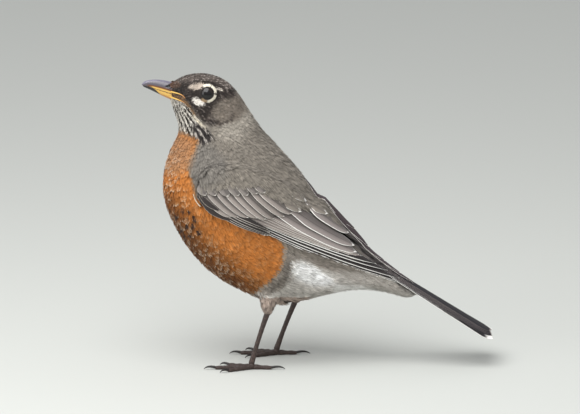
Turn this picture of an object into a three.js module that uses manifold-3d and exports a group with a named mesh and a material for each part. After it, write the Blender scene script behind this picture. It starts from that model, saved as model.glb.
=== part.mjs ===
// A life-size American robin, standing. Millimetres, +Z up, the bill towards -X and the bird's left side towards -Y.
// Feathered forms are solids of the plumage's outer surface. The bill, eyes, legs, toes and claws are their own pieces.
import * as THREE from 'three';
import { mergeVertices } from 'three/addons/utils/BufferGeometryUtils.js';
import Module from 'manifold-3d';

const wasm = await Module();
wasm.setup();

const GAP = 0.35; // between pieces that meet
const DEG = Math.PI / 180;

// ---------------------------------------------------------------------------------------------------------------
// Shaping tools

// A closed three.js geometry as a solid that can be joined and cut.
function solidOf(geometry) {
  const bare = geometry.clone();
  bare.deleteAttribute('normal');
  bare.deleteAttribute('uv');
  const merged = mergeVertices(bare, 1e-4);
  return new wasm.Manifold(
    new wasm.Mesh({
      numProp: 3,
      vertProperties: new Float32Array(merged.attributes.position.array),
      triVerts: new Uint32Array(merged.index.array),
    }),
  );
}

// The largest body of a solid as a geometry. A cut can leave crumbs, which are dropped.
function geometryOf(solid) {
  const largest = solid.decompose().sort((a, b) => b.volume() - a.volume())[0];
  const mesh = largest.getMesh();
  const positions = new Float32Array(mesh.numVert * 3);
  for (let i = 0; i < mesh.numVert; i++) {
    for (let axis = 0; axis < 3; axis++) {
      positions[3 * i + axis] = mesh.vertProperties[mesh.numProp * i + axis];
    }
  }
  const geometry = new THREE.BufferGeometry();
  geometry.setAttribute('position', new THREE.BufferAttribute(positions, 3));
  geometry.setIndex(new THREE.BufferAttribute(mesh.triVerts, 1));
  geometry.computeVertexNormals();
  return geometry;
}

// Turns a unit cylinder into a closed form whose cross-section changes from t = 0 to t = 1. sectionAt(t) gives the
// section's middle, its half-axes up and side as vectors, how square it is, and how deep its lower half is.
function sweep(sectionAt, around, along) {
  const geometry = new THREE.CylinderGeometry(1, 1, 1, around, along);
  const position = geometry.attributes.position;
  const point = new THREE.Vector3();
  for (let i = 0; i < position.count; i++) {
    point.fromBufferAttribute(position, i);
    const { middle, up, side, power = 2, lower = 1 } = sectionAt(0.5 - point.y);
    const radius = Math.hypot(point.x, point.z);
    const angle = Math.atan2(point.x, point.z);
    const rounded = (value) => Math.sign(value) * Math.abs(value) ** (2 / power) * radius;
    const height = rounded(Math.cos(angle));
    point.copy(middle);
    point.addScaledVector(up, height < 0 ? height * lower : height);
    point.addScaledVector(side, rounded(Math.sin(angle)));
    position.setXYZ(i, point.x, point.y, point.z);
  }
  const solid = solidOf(geometry);
  if (solid.volume() > 0) return solid;
  const index = geometry.index;
  for (let i = 0; i < index.count; i += 3) {
    const first = index.getX(i);
    index.setX(i, index.getX(i + 1));
    index.setX(i + 1, first);
  }
  return solidOf(geometry);
}

// A round limb along a curve: radius(t) is its radius, and flatness its width over its height.
function limb(curve, radius, around, along, flatness = 1) {
  return sweep(
    (t) => {
      const ahead = curve.getTangent(t);
      const side = new THREE.Vector3(0, 0, 1).cross(ahead);
      if (side.lengthSq() < 1e-6) side.set(0, 1, 0);
      side.normalize();
      const up = ahead.clone().cross(side);
      return {
        middle: curve.getPoint(t),
        up: up.multiplyScalar(radius(t)),
        side: side.multiplyScalar(radius(t) * flatness),
      };
    },
    around,
    along,
  );
}

// A smooth curve in the side view, through [x, z] points.
function line(points) {
  return new THREE.SplineCurve(points.map(([x, z]) => new THREE.Vector2(x, z)));
}

// A smooth run of values, evenly spaced from t = 0 to t = 1.
function profile(values) {
  const curve = new THREE.SplineCurve(values.map((value, i) => new THREE.Vector2(i, value)));
  return (t) => curve.getPoint(t).y;
}

// A side-view outline drawn out sideways into a prism from the body's middle to the left.
function sidePrism(points) {
  const shape = new THREE.Shape(points.map(([x, z]) => new THREE.Vector2(x, z)));
  const geometry = new THREE.ExtrudeGeometry(shape, { depth: WING_REACH, bevelEnabled: false });
  geometry.rotateX(Math.PI / 2);
  geometry.translate(0, -WING_MIDDLE_GAP, 0);
  return solidOf(geometry);
}

// ---------------------------------------------------------------------------------------------------------------
// Colours

const finish = (color, roughness) => new THREE.MeshStandardMaterial({ color, roughness, metalness: 0 });
const materials = {
  crown: finish(0x3f3833, 0.8),
  grey: finish(0x7b746c, 0.85),
  orange: finish(0xbf672f, 0.85),
  white: finish(0xd9d6ce, 0.9),
  flight: finish(0x6d6763, 0.7),
  tail: finish(0x4a4548, 0.65),
  bill: finish(0xd9a441, 0.4),
  billRidge: finish(0x57525a, 0.4),
  eye: finish(0x120d0b, 0.08),
  leg: finish(0x2b211f, 0.6),
  claw: finish(0x17110f, 0.4),
};

// ---------------------------------------------------------------------------------------------------------------
// Body: sections from the bill's base to the tail coverts. Each runs from a point on the back to one on the front,
// both [x, z], and has a half-width.

const SECTIONS = [
  { at: 'bill base', back: [-81.3, 160.9], front: [-82.7, 151.2], half: 4.6 },
  { at: 'forehead', back: [-75.2, 164.3], front: [-81.1, 146.8], half: 8.4 },
  { at: 'crown', back: [-67.9, 165.9], front: [-79.4, 141.6], half: 11.6 },
  { at: 'eye', back: [-58.9, 165.2], front: [-78.1, 137.4], half: 13.2 },
  { at: 'ear', back: [-50.5, 161.4], front: [-77.8, 134.1], half: 13.7 },
  { at: 'nape', back: [-43.8, 154.5], front: [-78.3, 130.7], half: 14.3 },
  { at: 'neck', back: [-38.2, 145.1], front: [-80.8, 125.2], half: 16.8 },
  { at: 'shoulders', back: [-31.0, 134.4], front: [-84.1, 117.8], half: 21.6 },
  { at: 'mantle', back: [-21.4, 123.4], front: [-86.4, 107.5], half: 26.4 },
  { at: 'breast', back: [-10.8, 111.3], front: [-86.3, 96.0], half: 29.4 },
  { at: 'lower breast', back: [-1.3, 97.4], front: [-82.3, 83.6], half: 30.6 },
  { at: 'flanks', back: [7.4, 84.4], front: [-74.0, 68.2], half: 30.2 },
  { at: 'belly', back: [15.9, 74.3], front: [-62.0, 54.0], half: 28.2 },
  { at: 'thighs', back: [23.2, 66.6], front: [-44.0, 42.4], half: 24.6 },
  { at: 'vent', back: [30.6, 60.0], front: [-22.0, 34.2], half: 20.5 },
  { at: 'rump', back: [37.6, 54.4], front: [1.0, 40.0], half: 16.4 },
  { at: 'under tail', back: [44.6, 49.6], front: [18.0, 42.8], half: 12.8 },
  { at: 'tail coverts', back: [51.4, 45.4], front: [34.0, 41.8], half: 9.8 },
  { at: 'coverts end', back: [58.0, 41.2], front: [50.0, 37.2], half: 6.4 },
];
const AROUND_BODY = 26;
const RINGS_PER_SECTION = 2;
const HEAD_ENDS = 5.1; // in sections from the bill
const NECK_ENDS = 7.2;
const TRUNK_ENDS = 13.5;
const LAST = SECTIONS.length - 1;
const CUT = 0.03; // half the cut between two lengths of the body, in sections

const backLine = line(SECTIONS.map(({ back }) => back));
const frontLine = line(SECTIONS.map(({ front }) => front));
const halfWidth = profile(SECTIONS.map(({ half }) => half));

// The body from one section to another, grown outwards by extra.
function bodyLength(from, to, extra = 0) {
  const sectionAt = (t) => {
    const s = (from + (to - from) * t) / LAST;
    const back = backLine.getPoint(s);
    const front = frontLine.getPoint(s);
    const half = back.clone().sub(front).multiplyScalar(0.5);
    const middle = back.clone().sub(half);
    half.setLength(half.length() + extra);
    return {
      middle: new THREE.Vector3(middle.x, 0, middle.y),
      up: new THREE.Vector3(half.x, 0, half.y),
      side: new THREE.Vector3(0, halfWidth(s) + extra, 0),
    };
  };
  return sweep(sectionAt, AROUND_BODY, Math.round((to - from) * RINGS_PER_SECTION));
}

const wholeBody = bodyLength(0, LAST, GAP);

// ---------------------------------------------------------------------------------------------------------------
// Eyes: balls of which a third shows.

const EYE_RADIUS = 5;
const EYE_AT = new THREE.Vector3(-61.8, -8.7, 156.3);

function ball(radius, at, around = 16, along = 10) {
  const geometry = new THREE.SphereGeometry(radius, around, along);
  geometry.rotateX(Math.PI / 2);
  geometry.translate(at.x, at.y, at.z);
  return solidOf(geometry);
}

const mirrored = ({ x, y, z }) => new THREE.Vector3(x, -y, z);
const eyes = {
  eye_left: ball(EYE_RADIUS, EYE_AT),
  eye_right: ball(EYE_RADIUS, mirrored(EYE_AT)),
};
const sockets = ball(EYE_RADIUS + GAP, EYE_AT).add(ball(EYE_RADIUS + GAP, mirrored(EYE_AT)));

// ---------------------------------------------------------------------------------------------------------------
// Bill: two closed halves that meet along the mouth line, from tip to face.

const RIDGE = line([[-98.4, 159.5], [-96.3, 161.4], [-92.0, 162.3], [-87.0, 162.1], [-82.0, 161.1], [-77.0, 159.6]]);
const MOUTH = line([[-98.0, 159.1], [-94.4, 158.4], [-90.3, 157.2], [-86.0, 155.7], [-81.6, 154.1], [-77.0, 152.5]]);
const KEEL = line([[-97.2, 158.2], [-93.6, 156.6], [-89.6, 154.6], [-85.4, 152.5], [-81.0, 150.6], [-76.5, 149.0]]);
const BILL_HALF_WIDTH = profile([0.3, 1.45, 2.3, 3.0, 3.7, 4.6]);
const BILL_AROUND = 12;
const BILL_ALONG = 9;
const MOUTH_BULGE = 0.12; // how far each half rounds into the mouth line, over its height

function billHalf(outer, widthShare) {
  const sectionAt = (t) => {
    const edge = MOUTH.getPoint(t);
    const height = outer.getPoint(t).sub(edge);
    edge.addScaledVector(height.clone().normalize(), GAP / 2 + height.length() * MOUTH_BULGE);
    height.multiplyScalar(1 - MOUTH_BULGE).setLength(Math.max(height.length() - GAP / 2, 0.2));
    return {
      middle: new THREE.Vector3(edge.x, 0, edge.y),
      up: new THREE.Vector3(height.x, 0, height.y),
      side: new THREE.Vector3(0, BILL_HALF_WIDTH(t) * widthShare, 0),
      lower: MOUTH_BULGE,
    };
  };
  return sweep(sectionAt, BILL_AROUND, BILL_ALONG).subtract(wholeBody);
}

// ---------------------------------------------------------------------------------------------------------------
// Tail: twelve long feathers in a closed fan, the middle pair on top, each next pair lower and further out.

const TAIL_ROOT = new THREE.Vector3(20, 0, 66.2);
const TAIL_SLOPE = 32.6 * DEG;
const TAIL_LENGTH = 93.5;
const TAIL_PAIRS = 6;
const TAIL_FEATHER = { rootWidth: 6, tipWidth: 10.5, thickness: 0.8, tipRound: 5 };
const TAIL_STEP = { out: 0.75, drop: 0.35, fan: 0.45 * DEG, tilt: 3 * DEG, shorter: 0.9 };

function tailFeather(pair, side) {
  const { rootWidth, tipWidth, thickness, tipRound } = TAIL_FEATHER;
  const length = TAIL_LENGTH - pair * TAIL_STEP.shorter;
  const outline = new THREE.Shape();
  outline.moveTo(0, -rootWidth / 2);
  outline.lineTo(length - tipRound, -tipWidth / 2);
  outline.quadraticCurveTo(length - 0.5, -tipWidth / 2, length, 0);
  outline.quadraticCurveTo(length - 0.5, tipWidth / 2, length - tipRound, tipWidth / 2);
  outline.lineTo(0, rootWidth / 2);
  const geometry = new THREE.ExtrudeGeometry(outline, { depth: thickness, bevelEnabled: false, curveSegments: 3 });
  geometry.rotateX(-side * (pair + 0.4) * TAIL_STEP.tilt);
  geometry.rotateZ(side * (pair + 0.5) * TAIL_STEP.fan);
  geometry.translate(0, side * (pair + 0.5) * TAIL_STEP.out, -pair * TAIL_STEP.drop);
  geometry.rotateY(TAIL_SLOPE);
  geometry.translate(TAIL_ROOT.x, TAIL_ROOT.y, TAIL_ROOT.z);
  return solidOf(geometry);
}

let tailFan = null;
for (let pair = 0; pair < TAIL_PAIRS; pair++) {
  for (const side of [-1, 1]) {
    const feather = tailFeather(pair, side);
    tailFan = tailFan ? tailFan.add(feather) : feather;
  }
}
const tail = tailFan.subtract(wholeBody);

// ---------------------------------------------------------------------------------------------------------------
// Wings: folded shells that lie on the body. Each group of feathers has its outline in the side view and its height
// over the body.

const WING_REACH = 60;
const WING_MIDDLE_GAP = 0.9; // from the middle of the back to each wing's inner edge
const WING_GROUPS = {
  coverts: {
    height: 3.2,
    outline: [
      [-68.6, 105], [-66.4, 99], [-60.5, 92], [-50, 87.6], [-40.5, 82.8], [-33, 85.5], [-12, 90.6], [-6.6, 95],
      [-8, 100], [-14, 106], [-26, 113.4], [-40, 118.6], [-52, 120.4], [-62, 118.4], [-67.4, 112.4],
    ],
  },
  tertials: {
    height: 3,
    outline: [
      [-11.5, 91], [2, 84.5], [15, 76.4], [24.6, 66.8], [26.6, 70], [34, 80], [12, 102], [4.5, 95], [-6, 94],
    ],
  },
  secondaries: {
    height: 2.9,
    outline: [
      [-32.4, 85], [-20, 81], [0, 72.2], [15, 65], [28, 59.4], [27, 64], [24.3, 66.4], [14.6, 76], [1.7, 84], [-11.8, 90.3],
    ],
  },
  primaries: {
    height: 2.2,
    outline: [
      [-40, 82.3], [-30, 79.4], [-12.5, 71.2], [5.5, 64], [25.5, 55.8], [45, 49.2], [55.8, 44.8], [62, 48], [40, 74],
      [34.2, 79.6], [25, 66.8], [27.5, 64], [28.6, 58.8], [14.8, 64.4], [-0.2, 71.7], [-20.2, 80.5], [-33, 84.8],
    ],
  },
};

const wings = {};
for (const [group, { height, outline }] of Object.entries(WING_GROUPS)) {
  const shell = bodyLength(0, LAST, GAP + height).intersect(sidePrism(outline));
  wings[group] = shell.subtract(wholeBody).subtract(tailFan);
}

// ---------------------------------------------------------------------------------------------------------------
// Legs: feathered thigh, scaled tarsus, four toes with pads, and claws. The left foot stands a step ahead.

const LEGS = {
  left: { side: -1, hip: [-18, 11, 62], knee: [-26.5, 14.6, 45], ankle: [-28.1, 15.8, 31.6], foot: [-37, 17, 3.2] },
  right: { side: 1, hip: [-2, 11, 62], knee: [-10.5, 14.6, 44.5], ankle: [-12.4, 15.8, 31.2], foot: [-23, 17, 3.2] },
};
const THIGH_RADIUS = profile([8.5, 8.2, 6.4, 2.0]);
const TARSUS_RADIUS = profile([1.75, 1.45, 1.3, 1.35, 1.7]);
const TOE_HEIGHT = 0.95; // of the toes' middles over the floor
const TOE_RADIUS = { root: 1.5, tip: 1.05 };
const FLOOR = 40; // half-size of the block that levels the soles
// length in mm, heading in degrees from straight ahead, outwards positive, and the claw's length
const TOES = {
  inner: { length: 14.5, heading: -27, claw: 5.4 },
  middle: { length: 20.5, heading: 2, claw: 6.2 },
  outer: { length: 15, heading: 29, claw: 5.2 },
  hind: { length: 11.5, heading: 176, claw: 7.6 },
};

const block = new THREE.BoxGeometry(4 * FLOOR, 4 * FLOOR, FLOOR);
block.translate(0, 0, -FLOOR / 2);
const belowFloor = solidOf(block);

function toeDirection({ heading }, side) {
  return new THREE.Vector3(-Math.cos(heading * DEG), side * Math.sin(heading * DEG), 0);
}

function buildLeg({ side, hip, knee, ankle, foot }) {
  const place = ([x, y, z]) => new THREE.Vector3(x, side * y, z);
  const [hipAt, kneeAt, ankleAt, footAt] = [hip, knee, ankle, foot].map(place);

  const thighCurve = new THREE.CatmullRomCurve3([hipAt, kneeAt, ankleAt]);
  const thigh = limb(thighCurve, THIGH_RADIUS, 14, 8, 0.8).subtract(wholeBody);

  const shank = footAt.clone().sub(ankleAt);
  const tarsusTop = ankleAt.clone().addScaledVector(shank, (GAP + 0.3) / shank.length());
  const tarsusCurve = new THREE.LineCurve3(tarsusTop, footAt);
  const tarsus = limb(tarsusCurve, TARSUS_RADIUS, 10, 5, 0.78);

  let toes = ball(2, new THREE.Vector3(footAt.x, footAt.y, 1.9), 10, 6);
  const claws = {};
  for (const [name, toe] of Object.entries(TOES)) {
    const ahead = toeDirection(toe, side);
    const root = new THREE.Vector3(footAt.x, footAt.y, TOE_HEIGHT + 0.5);
    const at = (distance, height) => root.clone().addScaledVector(ahead, distance).setZ(height);
    const toeCurve = new THREE.CatmullRomCurve3([
      root,
      at(toe.length * 0.25, TOE_HEIGHT + 0.45),
      at(toe.length * 0.6, TOE_HEIGHT),
      at(toe.length, TOE_HEIGHT),
    ]);
    const taper = (t) => THREE.MathUtils.lerp(TOE_RADIUS.root, TOE_RADIUS.tip, t);
    toes = toes.add(limb(toeCurve, taper, 8, 4));
    const clawCurve = new THREE.QuadraticBezierCurve3(
      at(toe.length + GAP, TOE_HEIGHT + 0.25),
      at(toe.length + toe.claw * 0.65, TOE_HEIGHT + 1.6),
      at(toe.length + toe.claw, 0.35),
    );
    claws[name] = limb(clawCurve, (t) => THREE.MathUtils.lerp(0.78, 0.22, t), 6, 4).subtract(belowFloor);
  }
  const tarsusClearance = limb(tarsusCurve, (t) => TARSUS_RADIUS(t) + GAP, 10, 5, 0.82);
  return { thigh, tarsus: tarsus.subtract(belowFloor), foot: toes.subtract(tarsusClearance).subtract(belowFloor), claws };
}

// ---------------------------------------------------------------------------------------------------------------
// Assembly

const robin = new THREE.Group();
function put(name, solid, material) {
  const mesh = new THREE.Mesh(geometryOf(solid), material);
  mesh.name = name;
  robin.add(mesh);
  return mesh;
}

put('head', bodyLength(0, HEAD_ENDS - CUT).subtract(sockets), materials.crown);
put('neck', bodyLength(HEAD_ENDS + CUT, NECK_ENDS - CUT), materials.grey);
put('trunk', bodyLength(NECK_ENDS + CUT, TRUNK_ENDS - CUT), materials.orange);
put('tail_coverts', bodyLength(TRUNK_ENDS + CUT, LAST), materials.white);
put('tail', tail, materials.tail);
put('bill_upper', billHalf(RIDGE, 1), materials.billRidge);
put('bill_lower', billHalf(KEEL, 0.9), materials.bill);
for (const [name, eye] of Object.entries(eyes)) put(name, eye, materials.eye);

for (const [group, solid] of Object.entries(wings)) {
  const left = put('wing_left_' + group, solid, group === 'coverts' ? materials.grey : materials.flight);
  const right = left.clone();
  right.name = 'wing_right_' + group;
  right.scale.y = -1;
  robin.add(right);
}

for (const [name, plan] of Object.entries(LEGS)) {
  const leg = buildLeg(plan);
  put('thigh_' + name, leg.thigh, materials.white);
  put('tarsus_' + name, leg.tarsus, materials.leg);
  put('foot_' + name, leg.foot, materials.leg);
  for (const [toe, claw] of Object.entries(leg.claws)) put('claw_' + name + '_' + toe, claw, materials.claw);
}

// The origin is under the middle of the bird, on the floor.
const extent = new THREE.Box3().setFromObject(robin);
robin.position.set(-(extent.min.x + extent.max.x) / 2, -(extent.min.y + extent.max.y) / 2, -extent.min.z);

export default robin;
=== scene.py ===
# An American robin, life size, standing. Sizes are in millimetres, scaled to metres where a mesh is made.
# The bill points to -X, the bird's left side is -Y. Markings are placed in a side view from a little above:
# x along the bird, and h, the height less a share of the distance from the bird's middle.
import itertools
import math
import bmesh
import bpy
import numpy as np
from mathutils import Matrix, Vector
from mathutils.bvhtree import BVHTree


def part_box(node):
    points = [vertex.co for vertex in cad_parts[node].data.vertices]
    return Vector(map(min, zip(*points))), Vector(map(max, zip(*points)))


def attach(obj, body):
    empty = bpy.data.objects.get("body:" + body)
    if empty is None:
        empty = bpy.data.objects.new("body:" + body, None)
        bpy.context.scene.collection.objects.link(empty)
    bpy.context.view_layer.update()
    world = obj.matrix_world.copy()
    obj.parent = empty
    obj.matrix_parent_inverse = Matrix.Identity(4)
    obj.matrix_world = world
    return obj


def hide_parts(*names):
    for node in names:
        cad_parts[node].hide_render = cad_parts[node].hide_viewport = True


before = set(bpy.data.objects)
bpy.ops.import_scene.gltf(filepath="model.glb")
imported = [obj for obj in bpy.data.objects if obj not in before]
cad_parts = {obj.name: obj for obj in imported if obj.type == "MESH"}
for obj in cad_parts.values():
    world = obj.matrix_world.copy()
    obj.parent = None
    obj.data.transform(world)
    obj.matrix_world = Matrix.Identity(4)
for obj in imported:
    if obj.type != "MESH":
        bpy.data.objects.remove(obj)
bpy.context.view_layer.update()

# ----------------------------------------------------------------------------------------------------------
# Floor, light and camera. The floor is a wide pale disc. The light is a large soft panel above, with a
# weaker one from the bill's side. The camera is far off, a little above the bird and square to its left
# side.
MM = 0.001
FLOOR_RADIUS = 30000
FLOOR_COLOUR = (198, 200, 195)
PANELS = [  # name, place, size and power
    ("sky panel", (-200, -420, 900), 900, 11),
    ("bill side panel", (-900, -500, 350), 700, 3),
]
BIRD_MIDDLE = Vector((-10, 0, 80))
ROOM_LIGHT = (0.97, 0.98, 1, 1)
ROOM_POWER = 0.6
LOOK_DOWN = math.radians(13)
RISE = math.tan(LOOK_DOWN)
FRAME_WIDTH = 324.8
FRAME_MIDDLE = Vector((-15.8, 0, 89.3))
CAMERA_AWAY = 6000


def shader(name, rough, **sockets):
    """A new material, its node tree and its Principled shader with the given socket values."""
    material = bpy.data.materials.new(name)
    material.use_nodes = True
    tree = material.node_tree
    principled = tree.nodes["Principled BSDF"]
    principled.inputs["Roughness"].default_value = rough
    for socket, value in sockets.items():
        principled.inputs[socket.replace("_", " ")].default_value = value
    return material, tree, principled


def light_of(colours):
    """Screen colours, 0 to 255 a channel, as linear light."""
    channels = np.clip(colours, 0, 255) / 255
    return np.where(channels < 0.04045, channels / 12.92, ((channels + 0.055) / 1.055) ** 2.4)


def add_object(name, data):
    placed = bpy.data.objects.new(name, data)
    bpy.context.scene.collection.objects.link(placed)
    return placed


def add_piece(name, mesh, material, slot, replaced=()):
    """Shows a finished mesh as a piece that rides on the bird's one body."""
    piece = add_object(name, mesh)
    mesh.materials.append(material)
    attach(piece, "root")
    if replaced:
        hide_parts(*replaced)


def mesh_from(name, bm, turned=False):
    """A smooth mesh from a bmesh in millimetres, with its faces turned outwards unless they are already."""
    if not turned:
        bmesh.ops.recalc_face_normals(bm, faces=bm.faces)
    bmesh.ops.scale(bm, vec=(MM, MM, MM), verts=bm.verts)
    for face in bm.faces:
        face.smooth = True
    mesh = bpy.data.meshes.new(name)
    bm.to_mesh(mesh)
    bm.free()
    return mesh


floor_bm = bmesh.new()
bmesh.ops.create_circle(floor_bm, cap_ends=True, segments=64, radius=FLOOR_RADIUS)
floor = add_object("floor", mesh_from("floor", floor_bm))
floor_finish, _, floor_shader = shader("floor paint", rough=0.9)
floor_shader.inputs["Base Color"].default_value = (*light_of(FLOOR_COLOUR), 1)
floor.data.materials.append(floor_finish)

for name, place, size, power in PANELS:
    lamp = bpy.data.lights.new(name, "AREA")
    lamp.size = size * MM
    lamp.energy = power
    panel = add_object(name, lamp)
    panel.location = Vector(place) * MM
    panel.rotation_euler = (BIRD_MIDDLE - Vector(place)).to_track_quat("-Z", "Y").to_euler()
world = bpy.data.worlds.new("room")
world.use_nodes = True
room = world.node_tree.nodes["Background"].inputs
room["Color"].default_value = ROOM_LIGHT
room["Strength"].default_value = ROOM_POWER
bpy.context.scene.world = world
bpy.context.scene.view_settings.view_transform = "Standard"

camera = bpy.data.cameras.new("camera")
camera.sensor_width = 36
camera.lens = camera.sensor_width * CAMERA_AWAY / FRAME_WIDTH
camera.clip_end = 60
viewer = add_object("camera", camera)
camera_way = Vector((0, -math.cos(LOOK_DOWN), math.sin(LOOK_DOWN)))
viewer.location = (FRAME_MIDDLE + CAMERA_AWAY * camera_way) * MM
viewer.rotation_euler = (math.pi / 2 - LOOK_DOWN, 0, 0)
bpy.context.scene.camera = viewer

# ----------------------------------------------------------------------------------------------------------
# The plumage's outer surface, which is not a piece. Head, neck, body, thighs and folded wings are fused
# into one smooth form. Every feather is laid against it: roots below it, tips level with it.
FLESH = ["head", "neck", "trunk", "tail_coverts", "thigh_left", "thigh_right"]
WING_GROUPS = ["coverts", "tertials", "secondaries", "primaries"]
WINGS = [f"wing_{side}_{group}" for side in ("left", "right") for group in WING_GROUPS]
FUSING_VOXEL = 1.0
FUSING_GROWTH = 0.6  # the forms are swollen by this much while they fuse, so that thin edges stay
NOTHING = 1e-9  # the least length to divide by


def fused(nodes, smoothing):
    """The nodes' solids as one smooth closed form, in millimetres."""
    bm = bmesh.new()
    for node in nodes:
        bm.from_mesh(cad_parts[node].data)
    bmesh.ops.scale(bm, vec=(1 / MM, 1 / MM, 1 / MM), verts=bm.verts)
    bmesh.ops.remove_doubles(bm, verts=bm.verts, dist=0.001)
    bm.normal_update()
    for vert in bm.verts:
        vert.co += vert.normal * FUSING_GROWTH
    mesh = bpy.data.meshes.new("fusing")
    bm.to_mesh(mesh)
    bm.free()
    lump = add_object("fusing", mesh)
    remesh = lump.modifiers.new("fuse", "REMESH")
    remesh.mode = "VOXEL"
    remesh.voxel_size = FUSING_VOXEL
    bpy.context.view_layer.update()
    graph = bpy.context.evaluated_depsgraph_get()
    even = bpy.data.meshes.new_from_object(lump.evaluated_get(graph))
    bpy.data.objects.remove(lump)
    bm = bmesh.new()
    bm.from_mesh(even)
    bpy.data.meshes.remove(even)
    bpy.data.meshes.remove(mesh)
    every_way = dict(use_axis_x=True, use_axis_y=True, use_axis_z=True)
    for _ in range(smoothing):
        bmesh.ops.smooth_vert(bm, verts=bm.verts, factor=0.5, **every_way)
    bm.normal_update()
    for vert in bm.verts:
        vert.co -= vert.normal * FUSING_GROWTH
    bm.normal_update()
    return bm


outer_bm = fused(FLESH + WINGS, smoothing=9)
outer = BVHTree.FromBMesh(outer_bm)
outer_points = np.array([vert.co for vert in outer_bm.verts])


def nearest(points):
    """The nearest places on the outer surface to some points, and the surface's directions there."""
    places = np.empty_like(points)
    normals = np.empty_like(points)
    for i, point in enumerate(points):
        places[i], normals[i], _, _ = outer.find_nearest(point)
    return places, normals


def unit(vectors):
    return vectors / np.maximum(np.linalg.norm(vectors, axis=-1, keepdims=True), NOTHING)


# ----------------------------------------------------------------------------------------------------------
# The bird's line from bill to tail, and round it. Feathers are sized by how far along they sit, and each
# tuft's patch on the bake map is at its root's place on the body unrolled along this line.
SPINE = np.array([
    (-84, 157), (-69, 153), (-61, 141), (-57.5, 127), (-54, 115), (-45, 97), (-30, 74), (-8, 56), (20, 48),
    (58, 38),
])
SPINE_RUNS = np.linalg.norm(np.diff(SPINE, axis=0), axis=1)
SPINE_AT = np.concatenate([[0], np.cumsum(SPINE_RUNS)])


def along_and_round(points):
    """How far along the line each point sits, 0 to 1, and its turn round it, 0 behind to pi in front."""
    side_view = points[:, [0, 2]]
    best = np.full(len(points), 1e9)
    along = np.zeros(len(points))
    turn = np.zeros(len(points))
    for i, (start, end) in enumerate(zip(SPINE[:-1], SPINE[1:])):
        run = end - start
        share = np.clip(((side_view - start) @ run) / (run @ run), 0, 1)
        off = side_view - (start + share[:, None] * run)
        gap = np.linalg.norm(off, axis=1)
        closer = gap < best
        backwards = np.array([-run[1], run[0]]) / np.linalg.norm(run)
        angle = np.arctan2(points[:, 1], off @ backwards)
        best = np.where(closer, gap, best)
        along = np.where(closer, SPINE_AT[i] + share * SPINE_RUNS[i], along)
        turn = np.where(closer, angle, turn)
    return along / SPINE_AT[-1], turn


def side_view_of(points):
    """Points as (x, h) in the side view from a little above, the same for both sides of the bird."""
    return np.stack([points[:, 0], points[:, 2] - RISE * np.abs(points[:, 1])], axis=1)


# Which way the feathers lie: (x, z) on the bird and the way they point there.
LIE = np.array([
    (-81, 159, 0.6, 0.8), (-74, 164, 0.9, 0.4), (-62, 166, 1.0, -0.1), (-50, 160, 0.75, -0.66),
    (-43, 152, 0.55, -0.83), (-36, 142, 0.55, -0.83), (-21, 122, 0.64, -0.77), (0, 97, 0.64, -0.77),
    (20, 73, 0.68, -0.73), (46, 49, 0.84, -0.54), (-77, 155, 0.95, 0.2), (-67, 148, 0.85, -0.5),
    (-57, 145, 0.85, -0.52), (-50, 148, 0.7, -0.7), (-78, 148, 0.45, -0.88), (-82, 149, 0.1, -1.0),
    (-79, 136, 0.1, -1.0), (-60, 128, 0.45, -0.9), (-80, 122, -0.05, -1.0), (-86, 103, 0.05, -1.0),
    (-83, 85, 0.3, -0.95), (-60, 95, 0.4, -0.92), (-72, 66, 0.65, -0.76), (-50, 47, 0.85, -0.5),
    (-35, 62, 0.85, -0.5), (-8, 58, 0.93, -0.35), (-20, 35, 0.96, -0.2), (10, 42, 0.98, -0.2),
    (45, 40, 0.9, -0.42), (-40, 110, 0.6, -0.8), (-10, 85, 0.7, -0.7),
])
LIE_BLEND = 2.0  # how softly one place's way goes over into the next one's
SHIN_LIE = (-0.05, 0, -1)
SHINS_AT = (-27.5, -11.5)  # the left and the right shin's place along the bird
SHIN_TOP = 41.5
SHIN_REACH = 7.5
SHIN_ASIDE = 8  # the shins lie farther than this from the middle line


def on_thigh(points):
    """Which points are on the feathered shins, that stick out below the belly."""
    middle = np.where(points[:, 1] < 0, *SHINS_AT)
    near = (np.abs(points[:, 0] - middle) < SHIN_REACH) & (np.abs(points[:, 1]) > SHIN_ASIDE)
    return (points[:, 2] < SHIN_TOP) & near


def lie_at(points, normals):
    """The way the feathers lie at some points of the outer surface."""
    side_view = points[:, [0, 2]]
    gap = np.linalg.norm(side_view[:, None, :] - LIE[None, :, :2], axis=2)
    pull = 1 / (gap + LIE_BLEND) ** 4
    way = (pull[:, :, None] * LIE[None, :, 2:]).sum(1) / pull.sum(1)[:, None]
    lie = np.stack([way[:, 0], np.zeros(len(points)), way[:, 1]], axis=1)
    lie[on_thigh(points)] = SHIN_LIE
    lie -= normals * (lie * normals).sum(1)[:, None]
    return unit(lie)


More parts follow.
